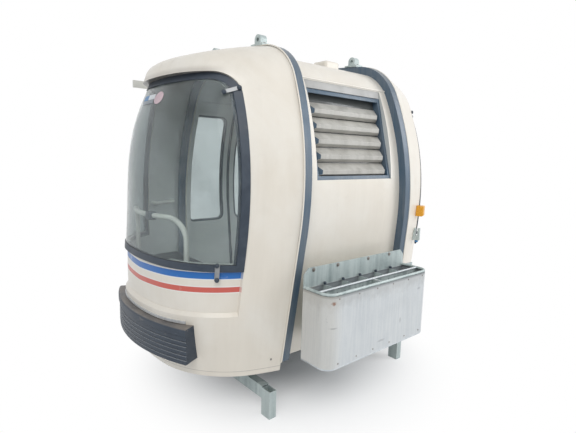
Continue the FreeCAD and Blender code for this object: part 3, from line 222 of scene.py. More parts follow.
# soft vertical wash marks of weathered sheet
def makeWash():
    tree, entry, leave, place = newGroup("sheetWash", {"Scale": 30.0, "Amount": 1.0}, ["Mask", "Tint"])
    for output, shift, share in (("Mask", 0.0, 1.0), ("Tint", 3.1, 0.37)):
        drawn = mapNode(tree, place, Location=(shift, 0, 0), Scale=(1, 1, 0.05))
        wash = noiseNode(tree, drawn, mathNode(tree, "MULTIPLY", entry["Scale"], share), 4.0)
        soft = rangeNode(tree, wash, 0.32, 0.68, smooth=True)
        feed(tree, leave[output], mathNode(tree, "MULTIPLY", soft, entry["Amount"]))


makeStreaks()
makePatches()
makeDust()
makeScuffs()
makeSpangle()
makeGrain()
makeInside()
makeWash()
print("stage: shared effects")


def newMaterial(name, **constants):
    material = bpy.data.materials.new(name)
    material.use_nodes = True
    tree = material.node_tree
    shader = tree.nodes["Principled BSDF"]
    feedNode(tree, shader, **constants)
    return material, tree, shader


# limits that are given from an origin, such as a window's edge
def shifted(origin, limits):
    return [origin + limit for limit in limits]


def layer(tree, base, mask, amount, tone):
    return mixNode(tree, mathNode(tree, "MULTIPLY", mask, amount), base, tone)


def addGrain(tree, shader, fine, wave, mix, strength, distance):
    grain = useGroup(tree, "surfaceGrain", Fine=fine, Wave=wave, Mix=mix)["Height"]
    bump = addNode(tree, "ShaderNodeBump", None, Strength=strength, Distance=distance, Height=grain)
    feed(tree, shader.inputs["Normal"], bump.outputs["Normal"])


# a painted or moulded finish: two tones in patches, then marks laid over them. A mark is an effect with
# its values, its strength and its tone. roughness names the mask that it follows, counted from the patches
def layFinish(name, look):
    material, tree, shader = newMaterial(name, **look["shader"])
    masks = [useGroup(tree, "patches", **look["patches"])["Mask"]]
    base = mixNode(tree, masks[0], look["colour"], look["varied"])
    for effect, values, amount, tone in look["marks"]:
        masks.append(useGroup(tree, effect, **values)["Mask"])
        base = layer(tree, base, masks[-1], amount, look[tone])
    number, smooth, rough = look["roughness"]
    feedNode(tree, shader, Base_Color=base, Roughness=rangeNode(tree, masks[number], 0.0, 1.0, smooth, rough))
    addGrain(tree, shader, *look["grain"])
    return material, tree, shader, base


creamLook = {
    "shader": {"IOR": 1.46, "Coat_Roughness": 0.12, "Coat_Weight": 0.25},
    "colour": (0.80, 0.735, 0.64),
    "varied": (0.84, 0.79, 0.71),
    "dirt": (0.42, 0.35, 0.26),
    "patches": {"Scale": 1.7, "Low": 0.4, "High": 0.7},
    "marks": (("rainStreaks", {"Scale": 16.0, "Contrast": 0.55}, 0.10, "dirt"),
              ("patches", {"Scale": 7.0, "Low": 0.52, "High": 0.78}, 0.07, "dirt"),
              ("facingDustAndShade", {"Start": 0.5, "Full": 1.0}, 0.12, "dirt")),
    "roughness": (2, 0.38, 0.6),
    "grain": (260.0, 2.2, 0.65, 0.12, 0.004),
    "inside": (0.56, 0.57, 0.55),
}


def creamPaint(name):
    material, tree, shader, base = layFinish(name, creamLook)
    base = mixNode(tree, useGroup(tree, "insideFace", Y=middleY)["Mask"], base, creamLook["inside"])
    feedNode(tree, shader, Base_Color=base)
    return material, tree, shader, base


# the two bands lie under the end windows, each from one drop to another below the sill
bandLook = {
    "bands": ((0.024, 0.062, (0.004, 0.140, 0.47)), (0.106, 0.137, (0.62, 0.115, 0.085))),
    "edge": 0.005,
    "pale": (0.86, 0.84, 0.80),
    "rise": 0.035,
    "stopX": 0.787,
    "stopZ": 0.85,
    "stopBlur": 0.001,
    "lean": 0.034,
    "blur": 0.0015,
    # tone of the mould seam, also used for the painted shade below the brow
    "seam": (0.20, 0.17, 0.14),
    "seamZ": 0.030,
    "seamHalf": (0.0010, 0.0022),
    "seamShare": 0.45,
    # strength of the painted shade on what faces down below the brow, then of the painted shade along its
    # foot
    "underBrow": 0.85,
    "browShade": 0.34,
    # where they fade in, counted from the top of the window rubber, and along X
    "underFrom": (-0.06, -0.03),
    "shadeFrom": (0.040, 0.008),
    "shadeFoot": (-0.02, -0.01),
    "shadeAhead": (0.78, 0.88),
}


# cream with the two painted bands, a mould seam along the skirt and the shade of the brow
def stripedPaint():
    material, tree, shader, colour = creamPaint("stripedShell")
    sealLow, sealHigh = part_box("front_window_seal")
    x, y, z = splitNode(tree, objectPlace(tree))
    along = mathNode(tree, "ABSOLUTE", x)
    away = mathNode(tree, "ABSOLUTE", mathNode(tree, "SUBTRACT", y, middleY))
    height = mathNode(tree, "SUBTRACT", z, mathNode(tree, "MULTIPLY", away, bandLook["rise"]))
    drop = mathNode(tree, "SUBTRACT", z, bandLook["stopZ"])
    reach = mathNode(tree, "MULTIPLY_ADD", drop, bandLook["lean"], along)
    stop, soft = bandLook["stopX"], bandLook["stopBlur"]
    onEnd = rangeNode(tree, reach, stop - soft, stop + soft)
    outside = mathNode(tree, "SUBTRACT", 1.0, useGroup(tree, "insideFace", Y=middleY)["Mask"])
    onEnd = mathNode(tree, "MULTIPLY", onEnd, outside)
    worn = useGroup(tree, "patches", Scale=9.0, Low=0.64, High=0.74, Amount=0.5)["Mask"]
    scuffed = useGroup(tree, "scuffs", Scale=60.0, Threshold=0.68, Amount=0.4)["Mask"]
    whole = mathNode(tree, "SUBTRACT", 1.0, mathNode(tree, "MAXIMUM", worn, scuffed))
    blur = bandLook["blur"]
    for start, end, tone in bandLook["bands"]:
        for paint, grow in ((bandLook["pale"], bandLook["edge"]), (tone, 0.0)):
            head, foot = sealLow.z - start + grow, sealLow.z - end - grow
            inside = mathNode(tree, "MULTIPLY", rangeNode(tree, height, head, head - blur),
                              rangeNode(tree, height, foot, foot + blur))
            inside = mathNode(tree, "MULTIPLY", inside, onEnd)
            if paint == tone:
                inside = mathNode(tree, "MULTIPLY", inside, whole)
            colour = mixNode(tree, inside, colour, paint)
    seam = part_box("front_end_shell")[0].z + bandLook["seamZ"]
    thin, wide = bandLook["seamHalf"]
    line = mathNode(tree, "MULTIPLY", rangeNode(tree, z, seam + wide, seam + thin),
                    rangeNode(tree, z, seam - wide, seam - thin))
    colour = layer(tree, colour, line, bandLook["seamShare"], bandLook["seam"])
    # painted shade on what faces down below the brow, and a soft painted shade along its foot
    under = useGroup(tree, "facingDustAndShade", Start=-0.25, Full=-0.85, Amount=bandLook["underBrow"])["Mask"]
    aloft = rangeNode(tree, z, *shifted(sealHigh.z, bandLook["underFrom"]))
    colour = mixNode(tree, mathNode(tree, "MULTIPLY", under, aloft), colour, bandLook["seam"])
    fade = rangeNode(tree, z, *shifted(sealHigh.z, bandLook["shadeFrom"]), 0.0, bandLook["browShade"], True)
    foot = rangeNode(tree, z, *shifted(sealHigh.z, bandLook["shadeFoot"]))
    ahead = rangeNode(tree, along, *bandLook["shadeAhead"], smooth=True)
    for limit in (foot, ahead, outside):
        fade = mathNode(tree, "MULTIPLY", fade, limit)
    feedNode(tree, shader, Base_Color=mixNode(tree, fade, colour, bandLook["seam"]))
    return material


slateLook = {
    "shader": {"IOR": 1.5},
    "colour": (0.052, 0.098, 0.150),
    "varied": (0.078, 0.120, 0.166),
    "worn": (0.36, 0.38, 0.38),
    "dust": (0.40, 0.37, 0.33),
    "patches": {"Scale": 5.0, "Low": 0.35, "High": 0.75},
    "marks": (("rainStreaks", {"Scale": 40.0, "Contrast": 0.4}, 0.18, "dust"),
              ("scuffs", {"Scale": 55.0, "Threshold": 0.68}, 0.6, "worn"),
              ("facingDustAndShade", {"Start": 0.3, "Full": 1.0}, 0.35, "dust")),
    "roughness": (0, 0.36, 0.55),
    "grain": (300.0, 8.0, 0.3, 0.15, 0.003),
}


rubberLook = {
    "shader": {"IOR": 1.5},
    "colour": (0.023, 0.036, 0.056),
    "varied": (0.066, 0.084, 0.108),
    "dust": (0.24, 0.21, 0.185),
    "roughness": (0, 0.42, 0.7),
    "grain": (500.0, 20.0, 0.3, 0.2, 0.002),
}


def rubberFinish(name, worn, dustAmount, dustStart=0.3, dustFull=0.9):
    look = dict(rubberLook)
    look["patches"] = {"Scale": 9.0, "Low": 0.35, "High": 0.75, "Amount": worn}
    look["marks"] = (("scuffs", {"Scale": 40.0, "Threshold": 0.62}, 0.25, "dust"),
                     ("facingDustAndShade", {"Start": dustStart, "Full": dustFull}, dustAmount, "dust"))
    return layFinish(name, look)[0]


def moulding(name, colour, roughness, wave):
    return layFinish(name, {
        "shader": {"IOR": 1.48},
        "colour": colour,
        "varied": tuple(part * 0.78 for part in colour),
        "scuffed": tuple(part * 0.5 for part in colour),
        "patches": {"Scale": 4.0, "Low": 0.4, "High": 0.75},
        "marks": (("scuffs", {"Scale": 30.0, "Threshold": 0.66}, 0.35, "scuffed"),),
        "roughness": (0, roughness, roughness + 0.15),
        "grain": (300.0, wave, 0.4, 0.15, 0.003),
    })[0]


# each metal's darkest and lightest tone, and the tone of its bloom
zincLook = {
    "galvanisedSteel": ((0.30, 0.36, 0.36), (0.47, 0.54, 0.53), (0.58, 0.64, 0.62)),
    "skiBoxZinc": ((0.54, 0.565, 0.58), (0.61, 0.63, 0.64), (0.69, 0.70, 0.69)),
    "louvreAluminium": ((0.37, 0.355, 0.32), (0.53, 0.51, 0.47), (0.66, 0.64, 0.59)),
    "floorPlate": ((0.20, 0.21, 0.22), (0.32, 0.33, 0.33), (0.40, 0.39, 0.37)),
    "clipSteel": ((0.24, 0.25, 0.26), (0.35, 0.36, 0.37), (0.46, 0.47, 0.47)),
    "rimZinc": ((0.50, 0.54, 0.57), (0.62, 0.66, 0.68), (0.74, 0.76, 0.76)),
    "boltSteel": ((0.17, 0.155, 0.14), (0.30, 0.28, 0.26), (0.40, 0.37, 0.34)),
    "stripAluminium": ((0.50, 0.51, 0.52), (0.58, 0.59, 0.60), (0.64, 0.64, 0.64)),
}
stainTone = (0.16, 0.13, 0.10)


# weathered metal: soft upright washes over faint crystals, with knocks and stains, and painted shade on what
# faces down
def zincFinish(name, metal, bloom, stain, under=0.0, wash=34.0, washAmount=1.0):
    dark, light, pale = zincLook[name]
    material, tree, shader = newMaterial(name, IOR=1.5)
    spangle = useGroup(tree, "zincSpangle", Scale=95.0)["Tone"]
    washes = useGroup(tree, "sheetWash", Scale=wash, Amount=washAmount)
    patches = useGroup(tree, "patches", Scale=3.5, Low=0.40, High=0.70)["Mask"]
    scuffs = useGroup(tree, "scuffs", Scale=30.0, Threshold=0.71)["Mask"]
    grime = useGroup(tree, "patches", Scale=2.3, Low=0.55, High=0.78)["Mask"]
    upper = useGroup(tree, "facingDustAndShade", Start=-0.35, Full=0.35)["Mask"]
    tone = mathNode(tree, "MULTIPLY_ADD", washes["Tint"], 0.70, mathNode(tree, "MULTIPLY", spangle, 0.30))
    base = mixNode(tree, tone, dark, light)
    weather = mathNode(tree, "MULTIPLY_ADD", patches, 0.45, washes["Mask"], clamp=True)
    weather = mathNode(tree, "MULTIPLY", weather, bloom)
    base = mixNode(tree, weather, base, pale)
    # painted shade: what faces down is darker, as strong as under
    lower = rangeNode(tree, upper, 0.0, 0.5, under, 0.0)
    base = mixNode(tree, lower, base, tuple(part * 0.35 for part in dark))
    base = layer(tree, base, scuffs, stain, stainTone)
    base = layer(tree, base, grime, stain * 0.25, stainTone)
    feedNode(tree, shader, Base_Color=base,
             Metallic=mathNode(tree, "MULTIPLY_ADD", weather, -metal, metal, clamp=True),
             Roughness=rangeNode(tree, weather, 0.0, 1.0, 0.40, 0.62))
    addGrain(tree, shader, 180.0, 5.0, 0.6, 0.18, 0.004)
    return material, tree, shader, base


rustTone = (0.24, 0.085, 0.028)
darkTone = (0.13, 0.13, 0.14)
skiBoxLook = {
    # inner is the tone of the painted shade inside the box
    "inner": (0.20, 0.24, 0.28),
    "innerShadeShare": 0.75,
    # what follows the height below the top, or the distance from the left end: from, to, strength, tone
    "grime": (-0.02, 0.07, 0.34, (0.30, 0.29, 0.27)),
    # the next tone is a painted shadow under the rim rod
    "line": (-0.016, -0.004, 0.55, (0.14, 0.15, 0.16)),
    # the next tone is a painted reflection of the cream shell on the left end of the box
    "creamReflection": (0.13, 0.02, 0.28, (0.62, 0.55, 0.44)),
    "specks": (0.20, 0.19, 0.18),
    # stains: x, z, half width, half height, strength, tone
    "stains": ((-0.470, 0.745, 0.016, 0.012, 0.75, rustTone), (-0.500, 0.655, 0.007, 0.045, 0.45, darkTone),
               (-0.470, 0.610, 0.030, 0.005, 0.40, darkTone), (0.300, 0.690, 0.020, 0.010, 0.30, darkTone),
               (-0.060, 0.440, 0.040, 0.008, 0.30, darkTone), (0.120, 0.520, 0.012, 0.020, 0.25, darkTone)),
}


# the ski box has painted shade inside and a few stains of its own
def skiBoxFinish():
    material, tree, shader, base = zincFinish("skiBoxZinc", 0.30, 0.75, 0.35, 0.0, 90.0, 0.55)
    low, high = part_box("ski_box")
    middle = (low + high) / 2
    inner = useGroup(tree, "insideFace", X=middle.x, Y=middle.y, Z=middle.z)["Mask"]
    base = layer(tree, base, inner, skiBoxLook["innerShadeShare"], skiBoxLook["inner"])
    place = objectPlace(tree)
    x, y, z = splitNode(tree, place)
    drift = mathNode(tree, "MULTIPLY_ADD", noiseNode(tree, place, 26.0, 7.0, 0.65), 0.16, z)
    # grime near the top, a painted shadow below the rim, and a painted reflection of the cream shell at the
    # left end
    for name, value, origin in (("grime", drift, high.z), ("line", z, high.z), ("creamReflection", x, low.x)):
        start, end, strength, tone = skiBoxLook[name]
        mask = rangeNode(tree, value, origin + start, origin + end, 0.0, strength, True)
        base = mixNode(tree, mask, base, tone)
    specks = useGroup(tree, "scuffs", Scale=95.0, Threshold=0.70, Amount=0.35)["Mask"]
    base = mixNode(tree, specks, base, skiBoxLook["specks"])
    ragged = noiseNode(tree, place, 90.0, 4.0, 0.55)
    for across, up, halfWidth, halfHeight, strength, tone in skiBoxLook["stains"]:
        spot = mapNode(tree, place, "TEXTURE", Location=(across, low.y, up),
                       Scale=(halfWidth, 0.03, halfHeight))
        edge = mathNode(tree, "MULTIPLY_ADD", ragged, 1.1, vectorNode(tree, "LENGTH", spot)["Value"])
        base = mixNode(tree, rangeNode(tree, edge, 1.6, 1.0, 0.0, strength), base, tone)
    feedNode(tree, shader, Base_Color=base)
    return material


# the darker tone of the end panes towards the door side is painted shade
paneLook = {
    "tint": (0.68, 0.73, 0.73),
    "shadeTint": (0.20, 0.235, 0.235),
    "shadeTintFrom": (0.31, 0.36),
    "endFrom": (0.60, 0.62),
    "veil": (0.52, 0.56, 0.58),
    "veilAmount": 0.16,
    "shadow": (0.86, 0.89, 0.90),
}


def clearPane():
    material, tree, shader = newMaterial("clearPane", IOR=1.18, Transmission_Weight=1.0)
    x, y, z = splitNode(tree, objectPlace(tree))
    shadeTinted = rangeNode(tree, y, *shifted(middleY, paneLook["shadeTintFrom"]), smooth=True)
    atEnds = rangeNode(tree, mathNode(tree, "ABSOLUTE", x), *paneLook["endFrom"])
    shadeTinted = mathNode(tree, "MULTIPLY", shadeTinted, atEnds)
    scratch = useGroup(tree, "scuffs", Scale=18.0, Threshold=0.66)["Mask"]
    feedNode(tree, shader, Base_Color=mixNode(tree, shadeTinted, paneLook["tint"], paneLook["shadeTint"]),
             Roughness=rangeNode(tree, scratch, 0.0, 1.0, 0.02, 0.22))
    # a pale diffuse veil in patches over the pane, partly haze on it and partly a painted reflection of the
    # surroundings
    veilPatches = useGroup(tree, "patches", Scale=1.4, Low=0.35, High=0.7)["Mask"]
    veil = addNode(tree, "ShaderNodeBsdfDiffuse", None, Color=paneLook["veil"]).outputs[0]
    amount = mathNode(tree, "MULTIPLY_ADD", veilPatches, paneLook["veilAmount"], 0.03)
    veiled = mixShaders(tree, amount, shader.outputs[0], veil)
    clear = addNode(tree, "ShaderNodeBsdfTransparent", None, Color=paneLook["shadow"]).outputs[0]
    shadowRay = addNode(tree, "ShaderNodeLightPath").outputs["Is Shadow Ray"]
    feedNode(tree, tree.nodes["Material Output"], Surface=mixShaders(tree, shadowRay, veiled, clear))
    return material


creamMaterial = creamPaint("creamShell")[0]
stripedMaterial = stripedPaint()
slateMaterial = layFinish("slatePaint", slateLook)[0]
sealMaterial = rubberFinish("windowRubber", 0.7, 0.25)
blackMaterial = rubberFinish("blackRubber", 0.4, 0.15)
zincMaterial = zincFinish("galvanisedSteel", 0.35, 0.7, 0.4)[0]
aluminiumMaterial = zincFinish("louvreAluminium", 0.2, 0.55, 0.3, 0.30, 12.0)[0]
rimMaterial = zincFinish("rimZinc", 0.3, 0.7, 0.1)[0]
darkSteelMaterial = zincFinish("boltSteel", 0.5, 0.4, 0.6)[0]
brightMaterial = zincFinish("stripAluminium", 0.25, 0.6, 0.1)[0]
benchMaterial = moulding("benchMoulding", (0.42, 0.43, 0.41), 0.42, 4.0)
vinylMaterial = moulding("seatVinyl", (0.035, 0.042, 0.052), 0.45, 14.0)
tubeMaterial = moulding("whiteTube", (0.74, 0.73, 0.68), 0.35, 9.0)
ribHighlightMaterial = moulding("ribHighlightGrey", (0.27, 0.29, 0.32), 0.5, 9.0)
revealShadeMaterial = moulding("revealShadeGrey", (0.48, 0.47, 0.45), 0.45, 5.0)
smokeMaterial = moulding("smokePane", (0.110, 0.115, 0.112), 0.10, 2.0)
tabMaterial = moulding("tabBlue", (0.05, 0.20, 0.42), 0.4, 9.0)
labelMaterial = moulding("labelWhite", (0.72, 0.74, 0.76), 0.4, 9.0)
greyLabelMaterial = moulding("labelGrey", (0.30, 0.33, 0.36), 0.4, 9.0)
badgeMaterial = moulding("badgePale", (0.70, 0.52, 0.56), 0.4, 9.0)

# the finish of each of the record's material slots
finishes = {
    "cream_shell": creamMaterial,
    "arch_paint": slateMaterial,
    "clear_pane": clearPane(),
    "window_rubber": sealMaterial,
    "bumper_rubber": rubberFinish("bumperRubber", 0.45, 0.9, 0.55, 0.95),
    "floor_plate": zincFinish("floorPlate", 0.3, 0.4, 0.9)[0],
    "galvanised": zincMaterial,
    "louvre_paint": slateMaterial,
    "louvre_aluminium": aluminiumMaterial,
    "bench_moulding": benchMaterial,
    "seat_vinyl": vinylMaterial,
    "white_tube": tubeMaterial,
    "amber_lens": moulding("amberLens", (0.78, 0.36, 0.025), 0.25, 20.0),
    "clip_steel": zincFinish("clipSteel", 0.6, 0.3, 0.15)[0],
}
ownFinish = {
    "front_end_shell": stripedMaterial,
    "rear_end_shell": stripedMaterial,
    "ski_box": skiBoxFinish(),
    "door_top_rail": tubeMaterial,
}


def dressNodes():
    slots = {part["node"]: part["material_slot"] for part in frame["record"]["subparts"]}
    for name, node in nodes.items():
        node.data.materials.clear()
        node.data.materials.append(ownFinish.get(name, finishes[slots[name]]))


dressNodes()
print("stage: finishes on the frame")


def clearSelection():
    if bpy.context.mode != "OBJECT":
        bpy.ops.object.mode_set(mode="OBJECT")
    bpy.ops.object.select_all(action="DESELECT")


def makeActive(piece):
    clearSelection()
    piece.select_set(True)
    bpy.context.view_layer.objects.active = piece


def settle(piece):
    makeActive(piece)
    bpy.ops.object.transform_apply(location=True, rotation=True, scale=True)
    return piece


def applyModifier(piece, kind, **settings):
    makeActive(piece)
    modifier = piece.modifiers.new(kind.title(), kind)
    for name, value in settings.items():
        setattr(modifier, name, value)
    bpy.ops.object.modifier_apply(modifier=modifier.name)


def finishPiece(piece, material, degrees=35):
    settle(piece)
    bpy.ops.object.shade_smooth_by_angle(angle=math.radians(degrees))
    piece.data.materials.clear()
    piece.data.materials.append(material)
    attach(piece, "cabin")
    return piece


def joinPieces(name, pieces):
    makeActive(pieces[0])
    for piece in pieces:
        piece.select_set(True)
    if len(pieces) > 1:
        bpy.ops.object.join()
    joined = bpy.context.object
    joined.name = name
    return joined


# small models are made once at the origin, looking up, and copied to their places
def scatter(name, model, places):
    copies = []
    for point, direction in places:
        copy = model.copy()
        copy.data = model.data.copy()
        bpy.context.scene.collection.objects.link(copy)
        turn = Vector(direction).to_track_quat("Z", "Y").to_matrix().to_4x4()
        copy.matrix_world = Matrix.Translation(Vector(point)) @ turn
        copies.append(copy)
    bpy.data.objects.remove(model)
    return settle(joinPieces(name, copies))


# a copy of a frame piece, with its loose triangles merged
def copyOf(name, node):
    clearSelection()
    piece = nodes[node].copy()
    piece.data = nodes[node].data.copy()
    piece.parent = None
    piece.name = name
    bpy.context.scene.collection.objects.link(piece)
    piece.matrix_world = Matrix.Identity(4)
    makeActive(piece)
    bpy.ops.object.mode_set(mode="EDIT")
    bpy.ops.mesh.select_all(action="SELECT")
    bpy.ops.mesh.remove_doubles(threshold=0.0001)
    bpy.ops.object.mode_set(mode="OBJECT")
    return piece


def startBlock(name, low, high):
    clearSelection()
    size = [b - a for a, b in zip(low, high)]
    middle = [(a + b) / 2 for a, b in zip(low, high)]
    bpy.ops.mesh.primitive_cube_add(size=1, location=middle, scale=size)
    block = bpy.context.object
    block.name = name
    return settle(block)


def roundBlock(name, low, high, width):
    block = startBlock(name, low, high)
    applyModifier(block, "BEVEL", width=width, segments=3, limit_method="ANGLE")
    return block


# a flat plate between points, with its thickness about its middle
def makePlate(name, points, thickness, bevel=0.0):
    clearSelection()
    bpy.ops.mesh.primitive_circle_add(vertices=len(points), radius=1, fill_type="NGON")
    plate = bpy.context.object
    plate.name = name
    for vertex, point in zip(plate.data.vertices, points):
        vertex.co = point
    applyModifier(plate, "SOLIDIFY", thickness=thickness, offset=0.0)
    if bevel:
        applyModifier(plate, "BEVEL", width=bevel, segments=2)
    return plate


def startRod(name, radius, depth, sides):
    clearSelection()
    place = (0, 0, depth / 2)
    bpy.ops.mesh.primitive_cylinder_add(vertices=sides, radius=radius, depth=depth, location=place)
    rod = bpy.context.object
    rod.name = name
    return settle(rod)


# selects the faces or edges that pass a test, and stays in edit mode
def pick(piece, kind, wanted):
    makeActive(piece)
    bpy.ops.object.mode_set(mode="EDIT")
    bpy.ops.mesh.select_mode(type=kind)
    bpy.ops.mesh.select_all(action="DESELECT")
    bpy.ops.object.mode_set(mode="OBJECT")
    for part in piece.data.polygons if kind == "FACE" else piece.data.edges:
        part.select = wanted(part)
    bpy.ops.object.mode_set(mode="EDIT")


def isTop(face):
    return face.normal.z > 0.9


# a hexagon head on a washer
def makeBolt(across, height, washer):
    head = startRod("bolt", across / 2, height, 6)
    pick(head, "FACE", isTop)
    bpy.ops.mesh.inset(thickness=across * 0.1)
    bpy.ops.transform.translate(value=(0, 0, height * 0.12))
    bpy.ops.object.mode_set(mode="OBJECT")
    disc = startRod("washer", washer / 2, 0.002, 20)
    applyModifier(disc, "BEVEL", width=0.0006, segments=2)
    return joinPieces("bolt", [head, disc])


# a domed head, with a dimple in its top if it has one
def makeButton(radius, height, dimple=0.0):
    button = startRod("button", radius, height, 16)
    pick(button, "FACE", isTop)
    bpy.ops.mesh.bevel(offset=height * 0.45, segments=3, affect="EDGES")
    if dimple:
        bpy.ops.mesh.inset(thickness=radius * 0.3)
        bpy.ops.transform.translate(value=(0, 0, -dimple))
    bpy.ops.object.mode_set(mode="OBJECT")
    return button


# where a ray meets a frame piece, or nothing
def castOn(target, start, direction):
    struck, point, normal, index = nodes[target].ray_cast(Vector(start), Vector(direction).normalized())
    return (point, normal) if struck else None


def hitOn(target, start, direction):
    found = castOn(target, start, direction)
    if not found:
        raise RuntimeError("no surface of " + target + " at " + str(tuple(start)))
    return found[0]


# a flat sheet that faces against a direction
def turnedSheet(kind, place, across, upward, direction, cells):
    clearSelection()
    if kind == "grid":
        bpy.ops.mesh.primitive_grid_add(x_subdivisions=cells[0], y_subdivisions=cells[1], size=1)
    else:
        bpy.ops.mesh.primitive_circle_add(vertices=cells[0], radius=0.5, fill_type="TRIFAN")
    sheet = bpy.context.object
    back = -Vector(direction).normalized()
    side = Vector((0, 0, 1)).cross(back).normalized()
    turn = Matrix((side, back.cross(side), back)).transposed().to_4x4()
    sheet.matrix_world = Matrix.Translation(Vector(place)) @ turn @ Matrix.Diagonal((across, upward, 1, 1))
    return settle(sheet)


# presses a sheet onto a wall along a direction, then gives it its thickness
def pressOn(name, target, sheet, direction, thickness, gap=0.0004):
    sheet.name = name
    aim = Vector(direction).normalized()
    for vertex in sheet.data.vertices:
        vertex.co = hitOn(target, vertex.co, aim) - aim * gap
    applyModifier(sheet, "SOLIDIFY", thickness=thickness, offset=1.0)
    return sheet


# a round bead along the sharp edges of a frame piece that a test on place and both normals accepts
def beadAlong(name, source, radius, wanted):
    bead = copyOf(name, source)
    sides = {}
    for face in bead.data.polygons:
        for index in face.loop_indices:
            sides.setdefault(bead.data.loops[index].edge_index, []).append(face.normal.copy())
    kept = set()
    for edge in bead.data.edges:
        near = sides.get(edge.index, [])
        if len(near) == 2 and near[0].dot(near[1]) < 0.8:
            start, end = (bead.data.vertices[index].co for index in edge.vertices)
            middle = (start + end) / 2
            if wanted(middle, near[0], near[1]) or wanted(middle, near[1], near[0]):
                kept.add(edge.index)
    bpy.ops.object.mode_set(mode="EDIT")
    bpy.ops.mesh.select_all(action="SELECT")
    bpy.ops.mesh.delete(type="ONLY_FACE")
    pick(bead, "EDGE", lambda edge: edge.index not in kept)
    bpy.ops.mesh.delete(type="EDGE")
    bpy.ops.mesh.select_all(action="SELECT")
    bpy.ops.mesh.delete_loose(use_verts=True, use_edges=False, use_faces=False)
    bpy.ops.object.mode_set(mode="OBJECT")
    bpy.ops.object.convert(target="CURVE")
    return roundOut(bpy.context.object, radius, 2)


# gives a curve its round section and makes it a mesh
def roundOut(piece, radius, resolution):
    piece.data.bevel_depth = radius
    piece.data.bevel_resolution = resolution
    piece.data.use_fill_caps = True
    makeActive(piece)
    bpy.ops.object.convert(target="MESH")
    return bpy.context.object


# order 2 gives straight runs, order 3 a smooth line
def tubeThrough(name, points, radius, order=2):
    curve = bpy.data.curves.new(name, "CURVE")
    curve.dimensions = "3D"
    spline = curve.splines.new("NURBS")
    spline.points.add(len(points) - 1)
    for target, point in zip(spline.points, points):
        target.co = (*point, 1)
    spline.order_u = order
    spline.use_endpoint_u = True
    tube = bpy.data.objects.new(name, curve)
    bpy.context.scene.collection.objects.link(tube)
    return roundOut(tube, radius, 3)


# arches
archBead = {"radius": 0.0045, "centreZ": 1.2}


def makeArchBeads():
    for end, sign in ends.items():
        def isRim(point, flat, rim):
            out = Vector((0, point.y - middleY, point.z - archBead["centreZ"])).normalized()
            return flat.x * sign > 0.9 and abs(rim.x) < 0.5 and rim.dot(out) > 0.2 and rim.z > -0.9

        bead = beadAlong(end + "_arch_bead", end + "_arch", archBead["radius"], isRim)
        finishPiece(bead, creamMaterial, 60)


makeArchBeads()
print("stage: arch beads")


# louvre window. A slat's profile is how far out and how far up its pitch each fold lies
louvreTrim = {
    "lipReach": 0.405,
    "lipRadius": 0.0075,
    "lipRise": 0.012,
    "paneBorder": 0.012,
    "paneBack": 0.006,
    "paneSheet": 0.003,
    # the grey header strip is painted shade of the reveal over the window
    "headers": (("louvre_reveal_shade_strip", 0.0, 0.046, 0.001, revealShadeMaterial),
                ("louvre_head_bar", 0.047, 0.072, -0.004, slateMaterial)),
    "headerSheet": 0.006,
    "headerGap": 0.004,
    "count": 5,
    "footRoom": 0.026,
    "headRoom": 0.108,
    "slatBack": 0.040,
    "profile": ((0.004, 0.00), (0.040, 0.10), (0.047, 0.34), (0.002, 0.93), (-0.006, 0.86)),
    "slatSheet": 0.0022,
    "cheekSheet": 0.002,
    "mitre": 0.032,
    "mitreFrom": 0.02,
}


# the window's left edge, its outer foot, how high and deep it is, and its two directions
def louvreCorners():
    corners = [vertex.co for vertex in nodes["louvre_frame"].data.vertices]
    edge = min(co.x for co in corners)
    side = [co for co in corners if co.x < edge + 0.001]
    outFoot = min(side, key=lambda co: co.y)
    slant = max(side, key=lambda co: co.z) - outFoot
    depth = outFoot - min(side, key=lambda co: co.z)
    return edge, outFoot, slant.length, depth.length, slant.normalized(), depth.normalized()


# an open strip of folds, drawn out sideways and mitred at both ends
def makeSlat(outline, width, root, outward):
    clearSelection()
    bpy.ops.mesh.primitive_circle_add(vertices=len(outline), radius=1, fill_type="NOTHING")
    slat = bpy.context.object
    for vertex, place in zip(slat.data.vertices, outline):
        vertex.co = place
    closing = {0, len(outline) - 1}
    pick(slat, "EDGE", lambda rim: set(rim.vertices) == closing)
    bpy.ops.mesh.delete(type="EDGE")
    bpy.ops.mesh.select_all(action="SELECT")
    bpy.ops.mesh.extrude_region_move(TRANSFORM_OT_translate={"value": (width, 0, 0)})
    bpy.ops.mesh.select_all(action="SELECT")
    bpy.ops.mesh.normals_make_consistent(inside=False)
    bpy.ops.object.mode_set(mode="OBJECT")
    for vertex in slat.data.vertices:
        if (vertex.co - root).dot(outward) > louvreTrim["mitreFrom"]:
            vertex.co.x += louvreTrim["mitre"] if vertex.co.x < 0 else -louvreTrim["mitre"]
    applyModifier(slat, "SOLIDIFY", thickness=louvreTrim["slatSheet"], offset=0.0)
    applyModifier(slat, "BEVEL", width=0.0008, segments=2, limit_method="ANGLE")
    return slat


